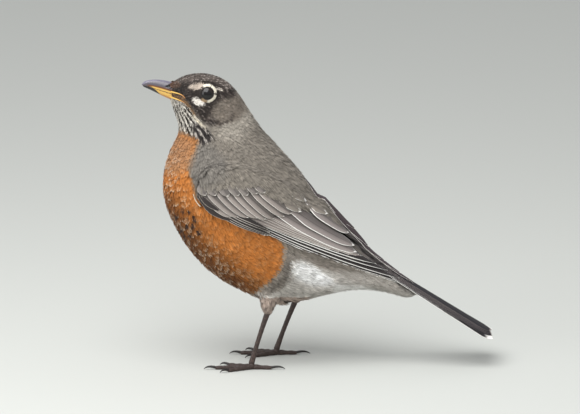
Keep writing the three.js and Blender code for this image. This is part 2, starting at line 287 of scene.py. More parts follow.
# ----------------------------------------------------------------------------------------------------------
# Markings. Each is a name, a colour, the width of its soft edge and an outline in the side view, (x, h).
# Later ones lie over earlier ones. The same markings colour the skin and every feather.
BACK = (129, 122, 112)
MARKINGS = [
    ("nape", (156, 149, 138), 9, [
        (-50, 158), (-40, 150), (-34, 139), (-44, 126), (-56, 128), (-55, 135),
    ]),
    ("shoulder", (119, 114, 107), 6, [
        (-74, 114), (-67, 126), (-59, 124), (-51, 116), (-50, 106), (-58, 101), (-66, 99), (-71, 101),
    ]),
    ("head", (46, 40, 37), 3.4, [
        (-86, 168), (-66, 171), (-52, 168), (-46, 158), (-45, 151), (-46, 144), (-49, 138.4), (-54, 136),
        (-59.5, 135.6), (-64.5, 138), (-68.5, 142.8), (-71.8, 147.4), (-75.2, 151.4), (-81, 154.5),
        (-86, 158),
    ]),
    ("crown", (82, 73, 68), 2.4, [
        (-86, 168), (-66, 171), (-52, 168), (-45, 158), (-50.5, 156.5), (-58.4, 161), (-66, 162),
        (-79.7, 160),
    ]),
    ("ear", (112, 103, 93), 4, [
        (-57, 149), (-50, 151.5), (-42, 153), (-40, 144), (-44, 139), (-49, 137.5), (-54.5, 137),
        (-60, 141),
    ]),
    ("ear rim", (74, 66, 60), 1.3, [
        (-46, 143.5), (-47.6, 139), (-52, 136.2), (-57.5, 135.4), (-57.5, 136.6), (-52, 137.6),
        (-48.6, 140.2), (-47, 144),
    ]),
    ("throat", (218, 212, 201), 1.6, [
        (-90, 151.6), (-79, 151.2), (-74, 149), (-70, 144), (-64.5, 136.5), (-59.5, 131.3), (-62.3, 126.7),
        (-67.9, 127.2), (-72.9, 130.1), (-76.9, 131.8), (-81, 133.6), (-90, 136),
    ]),
    ("neck patch", (44, 40, 39), 2.4, [
        (-69.6, 137), (-65.7, 136.4), (-61, 133), (-58, 128), (-64, 124), (-70, 128),
    ]),
    ("gape", (124, 94, 66), 1.0, [
        (-83, 155.2), (-76, 153.2), (-72.8, 149.4), (-68, 141.4), (-68.6, 140.6), (-71.5, 145),
        (-75, 148.9), (-83, 152.2),
    ]),
    ("malar", (214, 203, 182), 0.9, [
        (-70.4, 143), (-66.8, 138.8), (-62.4, 134.4), (-61.6, 133.4), (-66, 135.9), (-69.8, 140.8),
    ]),
    ("orange", (181, 110, 48), 2.8, [
        (-100, 134.7), (-81, 133), (-77, 131.3), (-71.8, 129.4), (-67, 127), (-69, 122), (-72.4, 116),
        (-73.5, 112), (-71.8, 107), (-69.6, 101), (-68.5, 94), (-52, 86), (-30, 78), (-17.5, 66), (-18, 60),
        (-21, 53), (-26, 46.8), (-31, 42), (-40, 38), (-66, 40), (-92, 70), (-104, 105),
    ]),
    ("upper breast", (162, 116, 78), 8, [
        (-100, 136), (-81, 133), (-68, 126), (-72, 112), (-78, 108), (-104, 112),
    ]),
    # Lower belly: a deeper, darker orange underneath, partly the bird's own colour and partly painted shade
    # where less light falls on the underside.
    ("deep belly and painted shade", (98, 54, 14), 18, [
        (-104, 108), (-82, 95), (-60, 66), (-42, 50), (-30, 41), (-40, 36), (-100, 40),
    ]),
    ("rear", (186, 181, 174), 4, [
        (-17, 68), (7, 60), (30, 54), (50, 46), (60, 40), (60, 30), (-40, 30), (-40, 38), (-31, 42),
        (-26, 46.8), (-20, 54),
    ]),
    ("flank", (138, 130, 121), 3.5, [
        (-18, 72), (7, 64), (30, 56), (26, 51), (12, 51.5), (0, 54), (-10, 58), (-14.5, 57), (-17, 50),
        (-21, 42), (-31, 38), (-33, 43), (-26, 47), (-21, 53),
    ]),
    ("flank shade", (106, 99, 91), 4, [
        (-17, 60), (-14, 57), (-15, 51), (-18, 45), (-27, 40), (-29, 42), (-21, 49),
    ]),
    ("white patch", (232, 231, 229), 4.5, [
        (-14.5, 57.5), (-8, 58.5), (-2, 55.5), (4, 51.5), (9, 48), (9.5, 45), (5, 43.5), (0, 43.5),
        (-6, 44.5), (-11, 47), (-15, 51),
    ]),
    ("rump", (98, 92, 90), 4, [
        (10, 92), (14, 77), (22, 66), (30, 57), (40, 50), (52, 44), (58, 46), (46, 60), (30, 74), (14, 92),
    ]),
    ("tail base", (150, 144, 136), 3, [
        (12, 53), (30, 50), (46, 45), (50, 40), (38, 41.6), (26, 44.5), (16, 48),
    ]),
    ("tail corner", (226, 224, 220), 2, [
        (8, 45), (24, 44), (44, 38.5), (56, 36), (56, 32), (8, 38),
    ]),
    ("thigh", (158, 142, 131), 2, [
        (-36, 41.5), (-18, 41.5), (-4, 40), (-4, 26), (-36, 26),
    ]),
    ("bill base", (88, 66, 54), 1.6, [
        (-84, 161.5), (-78.5, 161.6), (-76.5, 159.4), (-79, 157), (-84, 157),
    ]),
    ("lores", (48, 42, 40), 1.2, [
        (-81, 158), (-74, 157.6), (-70, 155), (-70.5, 151.5), (-74, 152.5), (-81, 155),
    ]),
    ("brow", (190, 176, 162), 1.1, [
        (-72.2, 158.5), (-69.5, 160), (-66, 160.4), (-63.5, 159.6), (-64.6, 157.6), (-66, 156.4),
        (-69, 156.3), (-71.6, 157.2),
    ]),
    ("cheek spot", (232, 226, 217), 0.9, [
        (-70.3, 151.2), (-68, 151.9), (-65, 150.4), (-62.8, 148.2), (-66, 146.6), (-69.2, 148.4),
    ]),
    ("eye spur", (206, 196, 184), 0.8, [
        (-58, 157.6), (-55.5, 157.6), (-52.5, 156.6), (-53.3, 155.6), (-57, 155.9),
    ]),
]
BREAST_SPOTS = np.array([
    (-79.2, 83), (-76, 86.1), (-72.4, 86.1), (-73.5, 77.8), (-70.3, 77.8), (-76.7, 75.5), (-74.6, 72.2),
    (-72, 72.6), (-69, 81), (-66.5, 74),
])
THROAT_FAN = np.array([-83.6, 158.2])  # the throat's stripes spread from here, at the bill's base
THROAT_STRIPE = math.radians(5.4)
THROAT_DARK = (40, 35, 32)
NECK_STREAK = (214, 206, 196)
CHIN = 152  # the throat's stripes grow darker from here down
STRAY = 0.35  # how far a feather's colour may be taken from its own place
SHARP = 0.01  # an outline's edge that is hardly soft


def ramp(values, low, high):
    """A smooth rise from 0 at low to 1 at high."""
    share = np.clip((values - low) / (high - low), 0, 1)
    return share * share * (3 - 2 * share)


def share_inside(at, outline, soft=SHARP):
    """1 inside an outline and 0 outside it, with a soft edge of that width."""
    corners = np.array(outline, float)
    gap = np.full(len(at), 1e9)
    inside = np.zeros(len(at), bool)
    for start, end in zip(corners, np.roll(corners, -1, axis=0)):
        run = end - start
        share = np.clip(((at - start) @ run) / (run @ run), 0, 1)
        gap = np.minimum(gap, np.linalg.norm(at - start - share[:, None] * run, axis=1))
        rise = np.where(abs(run[1]) < NOTHING, NOTHING, run[1])
        crosses = (start[1] > at[:, 1]) != (end[1] > at[:, 1])
        inside ^= crosses & (at[:, 0] < start[0] + (at[:, 1] - start[1]) / rise * run[0])
    return ramp(np.where(inside, gap, -gap) / soft + 0.5, 0, 1)


def mix(first, second, share):
    return first + (np.asarray(second, float) - first) * np.asarray(share)[..., None]


def plumage_colour(points, rng):
    """The feathers' screen colours at some points of the bird, and how much of each marking is there."""
    at = side_view_of(points)
    wobble = at + rng.normal(0, STRAY, at.shape)
    off = wobble - THROAT_FAN
    stripe = np.sin(2 * math.pi * np.arctan2(off[:, 0], -off[:, 1]) / THROAT_STRIPE)
    colour = np.tile(np.array(BACK, float), (len(at), 1))
    shares = {}
    for name, tint, soft, outline in MARKINGS:
        share = share_inside(wobble, outline, soft)
        if name == "thigh":
            share = share * (points[:, 2] < SHIN_TOP)
        shares[name] = share
        over = np.array(tint, float)
        if name == "throat":
            below_chin = np.clip((CHIN - at[:, 1]) / 7, 0.15, 1)
            over = mix(over, THROAT_DARK, np.clip(stripe * 2.2 + 0.7, 0, 1) * below_chin * 0.95)
        if name == "neck patch":
            over = mix(over, NECK_STREAK, np.clip(stripe * 2 - 1, 0, 0.75))
        colour += (over - colour) * share[:, None]
    return colour, shares


# ----------------------------------------------------------------------------------------------------------
# Skin. One closed form under all the soft feathers, in the same colours, darker, as the shade between
# feathers is. It lies as deep under the plumage's outer surface as the coat is thick.
DEPTHS = [(0, 0.5), (0.06, 0.6), (0.14, 0.9), (0.22, 1.4), (0.34, 1.9), (1, 2.1)]  # along, coat's depth
SKIN_DEEPER = 0.15  # than the feathers' roots
SKIN_SHADE = 0.78
SKIN_SEED = 5


def over_length(table, along):
    stations, values = zip(*table)
    return np.interp(along, stations, values)


def paint(mesh, colours):
    """Gives a mesh one screen colour for each vertex."""
    tint = mesh.color_attributes.new("plumage", "FLOAT_COLOR", "POINT")
    rgba = np.ones((len(mesh.vertices), 4), np.float32)
    rgba[:, :3] = light_of(colours)
    tint.data.foreach_set("color", rgba.ravel())


skin_bm = fused(FLESH, smoothing=6)
skin_points = np.array([vert.co for vert in skin_bm.verts])
skin_depth = over_length(DEPTHS, along_and_round(skin_points)[0]) + SKIN_DEEPER
for vert, depth in zip(skin_bm.verts, skin_depth):
    vert.co -= vert.normal * float(depth)
skin_mesh = mesh_from("skin", skin_bm)
skin_colour, _ = plumage_colour(skin_points, np.random.default_rng(SKIN_SEED))
paint(skin_mesh, skin_colour * SKIN_SHADE)


def feed(tree, value, socket):
    """Links a node's output to a socket, or sets the socket to a fixed value."""
    if isinstance(value, bpy.types.NodeSocket):
        tree.links.new(value, socket)
    else:
        socket.default_value = value


def number(tree, operation, *values):
    """A Math node's result. Each value is a node's output or a fixed number."""
    node = tree.nodes.new("ShaderNodeMath")
    node.operation = operation
    for socket, value in zip(node.inputs, values):
        feed(tree, value, socket)
    return node.outputs[0]


def blend(tree, first, second, share, mode="MIX"):
    """Two colours mixed. Each value is a node's output or fixed."""
    node = tree.nodes.new("ShaderNodeMix")
    node.data_type = "RGBA"
    node.blend_type = mode
    share_socket, first_socket, second_socket = (node.inputs[i] for i in (0, 6, 7))
    feed(tree, share, share_socket)
    feed(tree, first, first_socket)
    feed(tree, second, second_socket)
    return node.outputs[2]


def grain(tree, scale, detail):
    """Noise on the object's own coordinates."""
    place = tree.nodes.new("ShaderNodeTexCoord")
    noise = tree.nodes.new("ShaderNodeTexNoise")
    noise.inputs["Detail"].default_value = detail
    feed(tree, scale, noise.inputs["Scale"])
    tree.links.new(place.outputs["Object"], noise.inputs["Vector"])
    return noise.outputs["Fac"]


def new_group(name, **inputs):
    """A node group that puts out a colour and a height, with its inputs' and outputs' sockets."""
    group = bpy.data.node_groups.new(name, "ShaderNodeTree")
    for socket, kind in inputs.items():
        kind = f"NodeSocket{kind}"
        group.interface.new_socket(socket.replace("_", " "), in_out="INPUT", socket_type=kind)
    group.interface.new_socket("Colour", in_out="OUTPUT", socket_type="NodeSocketColor")
    group.interface.new_socket("Height", in_out="OUTPUT", socket_type="NodeSocketFloat")
    return group, group.nodes.new("NodeGroupInput").outputs, group.nodes.new("NodeGroupOutput").inputs


# Feather mottle: breaks up a colour with fine and broad unevenness round its own tone.
mottle, given, result = new_group("feather mottle", Colour="Color", Scale="Float", Strength="Float")
mottle_grain = grain(mottle, given["Scale"], detail=3)
level = number(mottle, "MULTIPLY_ADD", given["Strength"], -0.5, 1)
spread = number(mottle, "MULTIPLY_ADD", mottle_grain, given["Strength"], level)
feed(mottle, blend(mottle, given["Colour"], spread, 1, "MULTIPLY"), result["Colour"])
feed(mottle, mottle_grain, result["Height"])


def use_mottle(tree, principled, colour, scale, strength):
    """Breaks up a colour, a node's output or a fixed one, for the shader. Returns the grain's height."""
    node = tree.nodes.new("ShaderNodeGroup")
    node.node_tree = mottle
    node.inputs["Scale"].default_value = scale
    node.inputs["Strength"].default_value = strength
    feed(tree, colour, node.inputs["Colour"])
    tree.links.new(node.outputs["Colour"], principled.inputs["Base Color"])
    return node.outputs["Height"]


def painted_finish(name, rough, scale, strength, **sockets):
    """A finish in the colours painted on the piece, a little uneven."""
    material, tree, principled = shader(name, rough, **sockets)
    tint = tree.nodes.new("ShaderNodeAttribute")
    tint.attribute_name = "plumage"
    height = use_mottle(tree, principled, tint.outputs["Color"], scale, strength)
    return material, tree, principled, height


def plumage_finish(name, rough):
    soft = dict(Sheen_Weight=0.08, Sheen_Roughness=0.5, Specular_IOR_Level=0.25)
    return painted_finish(name, rough, scale=1400, strength=0.22, **soft)[0]


feather_finish = plumage_finish("soft feather", rough=0.85)
add_piece("skin", skin_mesh, plumage_finish("feathered skin", rough=0.95), "grey_feathers", FLESH)

# ----------------------------------------------------------------------------------------------------------
# Body feathers. Each is a fan of thin tapering blades, the barbs' tips, that rises from its root in the
# skin to the outer surface and lies over the feathers behind it. They are smallest on the face, longest on
# the flanks.
FEATHER_LENGTH = [
    (0, 1.7), (0.05, 2.3), (0.11, 3.2), (0.17, 4.6), (0.25, 7), (0.36, 9), (0.6, 10), (0.85, 11), (1, 10),
]
FEATHER_WIDTH = [
    (0, 0.9), (0.05, 1.2), (0.11, 1.7), (0.17, 2.4), (0.25, 3.6), (0.36, 4.8), (0.6, 5.2), (1, 4.8),
]
ROOT_SPACING = [(0, 0.52), (0.06, 0.62), (0.12, 0.76), (0.18, 0.95), (0.26, 1.2), (0.36, 1.4), (1, 1.5)]
SPACING_CLASSES = [0.55, 0.7, 0.9, 1.15, 1.45]
NEAREST_SHARE = 0.92  # of their class's spacing, that two roots come to at most
CANDIDATES = 150000
COAT_SEED = 11
BLADE_RINGS = np.array([0, 0.35, 0.7, 0.88, 1])  # where a blade's points lie along it
BLADE_TAPER = np.array([0.75, 1, 0.85, 0.5, 0.08])
BLUNT_TAPER = np.array([0.75, 1, 1, 0.85, 0.42])  # on the breast, where the tips close into arcs
BLADE_STEPS = len(BLADE_RINGS) - 1
BLADE_ROLL = 0.22
BLADE_OVERLAP = 0.7  # a blade's half-width, as a share of its place's
BLADES_ASTRAY = 0.3  # of a blade's place in the fan
FAN_ROUND = 0.26  # how much shorter the outermost blades are
FAN_RAGGED = (-0.1, 0.06)  # how much shorter or longer any blade may be
FAN_AT_ROOT = 0.22  # the fan's width at the root, as a share of its widest
FAN_OPEN_AT = 0.75  # along the feather
FAN_CLOSES = 0.12  # towards the tip
FAN_ARCH = 0.1  # how far a fan's sides lie under its middle, as a share of the coat's depth
BLADES_LOOSE = 0.06  # how unevenly blades and feathers lie, as shares of the coat's depth
FEATHERS_LOOSE = 0.05
RISE_CURVE = 1.15
PATH_LONGER = 1.05  # than the feather that is laid along it
EYE_SEEN = [-62.2, 156.3 - RISE * 8.7 - 0.7]  # where the bare eye lies in the side view
EYE_CLEAR = 4.0
BILL_CLEAR = [(-90, 162.6), (-83.2, 161.4), (-82.4, 157), (-82.4, 152.4), (-84.4, 150.4), (-90, 150)]
VANED = [  # the folded wing, where the wing's own feathers lie
    (-69.5, 101), (-62, 103.6), (-50, 105), (-38, 104.6), (-31, 102), (-24, 98), (-17, 95), (-12, 94.5),
    (-7, 95.5), (0, 91), (5, 86.5), (12, 80), (20, 72.5), (32, 60.5), (44, 50.5), (56, 43), (54, 42),
    (36, 49), (18, 55.5), (-2, 60.5), (-19, 67), (-28, 72), (-49, 81), (-61, 85.5), (-68.5, 94),
]
BACK_HALF = 3  # the wings begin this far from the middle line
RUMP_GAP = [
    (13, 82), (22, 72.5), (32, 62.5), (41, 54.5), (41, 50.5), (33, 55.5), (27, 60), (22, 65.5), (17, 73.5),
]
RUMP_LEVEL = -1.8  # the rump's feathers lie this far under the wings' level
# The shins' feathers, as shares of the belly's, and how far their tips stand off.
SHIN_SPACING = 0.6
SHIN_LENGTH = 0.62
SHIN_WIDTH = 0.45
SHIN_DEPTH = 0.35
SHIN_LIFT = 1.3


def gap_squared(here, there):
    return (here[0] - there[0]) ** 2 + (here[1] - there[1]) ** 2 + (here[2] - there[2]) ** 2


def scatter_roots(rng):
    """Places on the outer surface for the roots, evenly spread, closer together where feathers are small."""
    triangles = outer_bm.calc_loop_triangles()
    corners = np.array([[loop.vert.index for loop in triangle] for triangle in triangles])
    first, second, third = (outer_points[corners[:, i]] for i in range(3))
    area = 0.5 * np.linalg.norm(np.cross(second - first, third - first), axis=1)
    middles = (first + second + third) / 3
    spacing = over_length(ROOT_SPACING, along_and_round(middles)[0])
    spacing = spacing * np.where(on_thigh(middles), SHIN_SPACING, 1)
    chance = area / spacing**2
    chosen = rng.choice(len(corners), CANDIDATES, p=chance / chance.sum())
    out, over = np.sqrt(rng.random(CANDIDATES))[:, None], rng.random(CANDIDATES)[:, None]
    places = (1 - out) * first[chosen] + (out * (1 - over)) * second[chosen] + (out * over) * third[chosen]
    taken = [{} for _ in SPACING_CLASSES]
    kept = []
    for i, (place, gap) in enumerate(zip(places.tolist(), spacing[chosen].tolist())):
        kind = next((k for k, cell in enumerate(SPACING_CLASSES) if gap <= cell), len(SPACING_CLASSES) - 1)
        cell = SPACING_CLASSES[kind]
        home = tuple(int(math.floor(value / cell)) for value in place)
        limit = (NEAREST_SHARE * cell) ** 2
        around = itertools.product(*((at - 1, at, at + 1) for at in home))
        near = (other for box in around for other in taken[kind].get(box, ()))
        if all(gap_squared(place, other) >= limit for other in near):
            taken[kind].setdefault(home, []).append(place)
            kept.append(i)
    return places[kept]


def walk(roots, normals, lengths, steps):
    """A path over the outer surface from each root, the way the feathers lie."""
    places, directions = [roots], [normals]
    at, normal = roots, normals
    way = lie_at(roots, normals)
    for _ in range(steps):
        at, normal = nearest(at + way * (lengths / steps)[:, None])
        places.append(at)
        directions.append(normal)
        way = unit(way + lie_at(at, normal))
    return np.stack(places, axis=1), np.stack(directions, axis=1)


def grow_feathers(roots, normals, length, width, depth, lift, blades, rng, blunt=None, paths=None):
    """Fans of blades, one for each root. paths are places and directions already laid, instead of a walk.
    Gives two edge points for each ring of each blade, and their shares along and across the feather."""
    count = len(roots)
    places, directions = paths or walk(roots, normals, length * PATH_LONGER, BLADE_STEPS)
    across = np.linspace(-1, 1, blades)[None, :] + rng.normal(0, BLADES_ASTRAY / blades, (count, blades))
    reach = 1 - FAN_ROUND * across**2 + rng.uniform(*FAN_RAGGED, (count, blades))
    along = BLADE_RINGS[None, None, :] * reach[:, :, None]
    position = np.clip(along * BLADE_STEPS, 0, BLADE_STEPS - 1e-6)
    cell = position.astype(int)
    share = (position - cell)[..., None]
    rows = np.arange(count)[:, None, None]
    spine = places[rows, cell] * (1 - share) + places[rows, cell + 1] * share
    ahead = unit(places[rows, cell + 1] - places[rows, cell])
    up = unit(directions[rows, cell] * (1 - share) + directions[rows, cell + 1] * share)
    side = unit(np.cross(up, ahead))
    opened = np.sin(np.clip(along / FAN_OPEN_AT, 0, 1) * math.pi / 2)
    spread = FAN_AT_ROOT + (1 - FAN_AT_ROOT) * opened * (1 - FAN_CLOSES * along)
    offset = across[:, :, None] * spread * (width / 2)[:, None, None]
    middles = spine + side * offset[..., None]
    landed, facing = (middles, up) if paths else nearest(middles.reshape(-1, 3))
    landed = landed.reshape(middles.shape)
    facing = facing.reshape(middles.shape)
    deep = depth[:, None, None]
    level = -deep * np.maximum(0, 1 - along) ** RISE_CURVE + lift[:, None, None] * along**2
    level -= FAN_ARCH * deep * np.abs(across[:, :, None]) ** 2
    level += rng.normal(0, BLADES_LOOSE, (count, blades, 1)) * deep * along
    level += rng.normal(0, FEATHERS_LOOSE, (count, 1, 1)) * deep
    middles = landed + facing * level[..., None]
    taper = np.tile(BLADE_TAPER, (count, 1, 1))
    if blunt is not None:
        taper[blunt] = BLUNT_TAPER
    thick = taper * (width / blades * BLADE_OVERLAP)[:, None, None]
    roll = rng.normal(0, BLADE_ROLL, (count, blades, 1))
    edge = side * np.cos(roll)[..., None] + facing * np.sin(roll)[..., None]
    edge = edge * thick[..., None]
    return np.stack([middles + edge, middles - edge], axis=3), along, across


BAKE_PATCH = 0.003
BAKE_MARGIN = 0.02


def bake_patches(roots, along, across, low, high):
    """Each feather's own small patch of the bake map, at its root's place on the unrolled body."""
    place, turn = along_and_round(roots)
    blades = across.shape[1]
    u = BAKE_MARGIN + (1 - 2 * BAKE_MARGIN) * (place - low) / (high - low)
    v = BAKE_MARGIN + (1 - 2 * BAKE_MARGIN) * (turn / (2 * math.pi) + 0.5)
    u = u[:, None, None] + (along - 0.5) * BAKE_PATCH
    v = v[:, None, None] + across[:, :, None] * (0.5 - 0.5 / blades) * BAKE_PATCH + 0 * along
    v = v[..., None] + np.array([0.4, -0.4]) / blades * BAKE_PATCH
    return np.stack([np.repeat(u[..., None], 2, axis=3), v], axis=-1)


def add_feathers(name, slot, grown, roots, colours, low, high):
    """One piece of many blades, with a screen colour for each ring, from low to high along the bird."""
    edges, along, across = grown
    feathers, blades, rings = edges.shape[:3]
    strip = np.arange(rings - 1) * 2
    quad = np.stack([strip, strip + 1, strip + 3, strip + 2], axis=1)
    starts = np.arange(feathers * blades) * rings * 2
    corners = (starts[:, None, None] + quad[None]).reshape(-1)
    faces = len(corners) // 4
    mesh = bpy.data.meshes.new(name)
    mesh.vertices.add(edges.size // 3)
    mesh.vertices.foreach_set("co", (edges * MM).astype(np.float32).ravel())
    mesh.loops.add(len(corners))
    mesh.loops.foreach_set("vertex_index", corners.astype(np.int32))
    mesh.polygons.add(faces)
    mesh.polygons.foreach_set("loop_start", np.arange(faces, dtype=np.int32) * 4)
    mesh.update(calc_edges=True)
    mesh.shade_smooth()
    paint(mesh, np.broadcast_to(colours[:, :, :, None], edges.shape).reshape(-1, 3))
    patches = bake_patches(roots, along, across, low, high).reshape(-1, 2)
    bake = mesh.uv_layers.new(name="OFBake")
    bake.data.foreach_set("uv", patches[corners].astype(np.float32).ravel())
    add_piece(name, mesh, feather_finish, slot)


COAT_REGIONS = [  # name, slot, from and to along the bird, blades in a feather
    ("face_feathers", "crown_feathers", 0, 0.085, 5),
    ("head_feathers", "crown_feathers", 0.085, 0.17, 6),
    ("neck_feathers", "grey_feathers", 0.17, 0.30, 8),
    ("breast_feathers", "orange_feathers", 0.30, 0.45, 11),
    ("belly_feathers", "orange_feathers", 0.45, 0.62, 12),
    ("rear_feathers", "white_feathers", 0.62, 1.01, 13),
]
FRINGED_SHARE = 0.24
FRINGE = (208, 191, 174)
FRONT_FRINGES = [  # where the breast's pale fringes are broadest
    (-100, 128), (-79, 123), (-74, 95), (-66, 75), (-52, 60), (-38, 48), (-38, 34), (-70, 40), (-104, 104),
]
CROWN_FLECK = (170, 160, 152)
BACK_FRINGE = (150, 146, 142)
TAIL_BASE_TIP = (205, 200, 193)
SPOT = (52, 36, 30)
SPOT_REACH = 1.5
TIP_RING = 3  # a blade's colour is its marking's at this ring


def feather_colours(grown, fringed, rng):
    """The screen colour of every ring of every blade. fringed feathers show their whole pale edge."""
    edges, along, _ = grown
    count, blades, _ = along.shape
    shape = (count, blades)
    tips = edges.mean(axis=3)[:, :, TIP_RING].reshape(-1, 3)
    colour, shares = plumage_colour(tips, rng)
    colour = colour.reshape(count, blades, 1, 3)
    shares = {name: share.reshape(shape) for name, share in shares.items()}
    at = side_view_of(tips)
    front = share_inside(at, FRONT_FRINGES, 16).reshape(shape)
    spot_gap = np.linalg.norm(at[:, None] - BREAST_SPOTS[None], axis=2).min(axis=1).reshape(shape)

    head = shares["head"] - shares["throat"] - shares["cheek spot"] - shares["brow"] - 0.6 * shares["ear"]
    head = np.clip(head, 0, 1)
    fleck = fringed[:, None] * (np.abs(np.linspace(-1, 1, blades)) < 0.5) + 0.22 * rng.random(shape)
    fringe = np.zeros(shape)
    tip_colour = np.zeros((count, blades, 3)) + BACK_FRINGE
    for share, tint, amount in [
        (np.ones(shape), BACK_FRINGE, 0.22),
        (head, CROWN_FLECK, (0.38 + 0.57 * shares["crown"]) * fleck),
        (shares["orange"], FRINGE, 0.05 + (0.13 + 0.6 * front) * fringed[:, None]),
        (shares["white patch"], FRINGE, 0),
        (shares["tail base"], TAIL_BASE_TIP, 0.8),
        (shares["throat"], FRINGE, 0),
    ]:
        fringe = fringe + (amount - fringe) * share
        tip_colour = mix(tip_colour, tint, share)

    own = along / along[:, :, -1:]
    fringe_from = 0.82 - 0.38 * head[..., None]
    tip = np.clip((own - fringe_from) / 0.17, 0, 1) * fringe[..., None]
    # Each blade is darker towards its root: partly the feather's own greyer base and partly painted shade
    # where it lies under the feathers above it.
    base = 0.74 + 0.26 * ramp(along, 0.1, 0.75)
    rough = 3 * head + 3 * shares["thigh"] + shares["white patch"]
    uneven = 1 + rough.mean(axis=1)[:, None, None]
    tone = 1 + rng.normal(0, 0.04, (count, 1, 1)) * uneven + rng.normal(0, 0.045, (count, blades, 1))
    shown = mix(colour * (base * tone)[..., None], tip_colour[:, :, None], tip)
    spotted = ramp(SPOT_REACH - spot_gap, 0, 0.8) * shares["orange"]
    return mix(shown, SPOT, spotted[..., None])


rng = np.random.default_rng(COAT_SEED)
roots, normals = nearest(scatter_roots(rng))
at = side_view_of(roots)
aside = np.abs(roots[:, 1])
bare = (np.linalg.norm(at - EYE_SEEN, axis=1) < EYE_CLEAR) & (aside > 6)
bare |= share_inside(at, BILL_CLEAR) > 0.5
under_wings = (share_inside(at, RUMP_GAP) > 0.5) & (aside > BACK_HALF)
bare |= (share_inside(at, VANED) > 0.5) & (aside > BACK_HALF) & ~under_wings
orange_outline = next(outline for name, _, _, outline in MARKINGS if name == "orange")
coat = dict(roots=roots, normals=normals, sunk=under_wings, shin=on_thigh(roots))
coat["blunt"] = share_inside(at, orange_outline, 1) > 0.5
coat["place"] = along_and_round(roots)[0]
coat = {name: values[~bare] for name, values in coat.items()}

for name, slot, low, high, blades in COAT_REGIONS:
    for side, sign in (("left", -1), ("right", 1)):
        on_side = (coat["roots"][:, 1] >= 0) == (sign > 0)
        here = (coat["place"] >= low) & (coat["place"] < high) & on_side
        roots, normals, sunk, shin, blunt, place = (values[here] for values in coat.values())
        vary = rng.uniform(0.85, 1.15, len(roots))
        fringed = rng.random(len(roots)) < FRINGED_SHARE
        broader = rng.uniform(0.9, 1.1, len(roots))
        lift = np.where(place < 0.15, 0.1 + 0.12 * fringed, 0.22 * vary + 0.2 * fringed)
        lift = np.where(shin, SHIN_LIFT * vary, np.where(sunk, RUMP_LEVEL, lift))
        length = over_length(FEATHER_LENGTH, place) * vary * np.where(shin, SHIN_LENGTH, 1)
        width = over_length(FEATHER_WIDTH, place) * broader * np.where(shin, SHIN_WIDTH, 1)
        depth = over_length(DEPTHS, place) * np.where(shin, SHIN_DEPTH, 1) - RUMP_LEVEL * sunk
        grown = grow_feathers(roots, normals, length, width, depth, lift, blades, rng, blunt)
        colours = feather_colours(grown, fringed, rng)
        add_feathers(f"{name}_{side}", slot, grown, roots, colours, low, high)

# ----------------------------------------------------------------------------------------------------------
# Bill: two horny halves that meet along the mouth line, the upper slightly hooked. Slate above, yellow
# along the cutting edges, black below the tip. Both run back under the face feathers.
RIDGE = [(-98.8, 159.5), (-96.7, 161.4), (-92.4, 162.3), (-87.4, 162.1), (-82.4, 161.1), (-77.4, 159.6)]
MOUTH = [(-98.4, 159.2), (-94.8, 158.6), (-90.7, 157.4), (-86.4, 156.1), (-82.0, 154.8), (-77.4, 153.1)]
KEEL = [(-97.6, 158.2), (-94.0, 156.6), (-90.0, 154.6), (-85.8, 152.5), (-81.4, 150.6), (-76.9, 149.0)]
BILL_HALF_WIDTH = [0.3, 1.45, 2.3, 3.0, 3.7, 4.4]
SHELL_SHARE = 0.8  # of a half's section, the rest is the flat face inside the mouth
NOSTRIL = (-84.0, 158.9)
NOSTRIL_DEPTH = 0.75
SLATE = (86, 81, 90)
# A painted highlight along the top of the upper bill's ridge.
RIDGE_PAINTED_HIGHLIGHT = (112, 108, 126)
HORN_BROWN = np.array([100, 60, 36])
BILL_YELLOW = (216, 174, 88)
BILL_ORANGE = (178, 118, 56)
BILL_BLACK = (30, 28, 30)
BLACK_WEDGE = [  # along the lower half, and the share of its height below which it is black
    (0, -0.1), (0.27, -0.1), (0.4, 0.15), (0.52, 0.6), (0.62, 1.2),
]
CLOSE = 0.002  # points nearer than this are merged


def smooth_line(points, shares):
    """Places on a smooth line through some points, at shares of its length from 0 to 1."""
    points = np.array(points, float)
    if points.ndim == 1:
        return smooth_line(points[:, None], shares)[..., 0]
    last = len(points) - 1
    place = np.clip(np.asarray(shares, float), 0, 1) * last
    cell = np.minimum(place.astype(int), last - 1)
    t = (place - cell)[..., None]
    before, start = points[np.maximum(cell - 1, 0)], points[cell]
    end, after = points[cell + 1], points[np.minimum(cell + 2, last)]
    curve = 2 * start + (end - before) * t + (2 * before - 5 * start + 4 * end - after) * t**2
    return 0.5 * (curve + (3 * start - before - 3 * end + after) * t**3)


def wrap(bm, around, along, place):
    """Wraps a grid into a closed form. place(turn, run) gives the points for turns and runs from 0 to 1."""
    made = bmesh.ops.create_grid(bm, x_segments=around, y_segments=along, size=0.5)["verts"]
    flat = np.array([vert.co for vert in made])[:, :2] + 0.5
    for vert, point in zip(made, place(flat[:, 0], flat[:, 1])):
        vert.co = point


def points_of(mesh):
    return np.array([vert.co for vert in mesh.vertices]) / MM


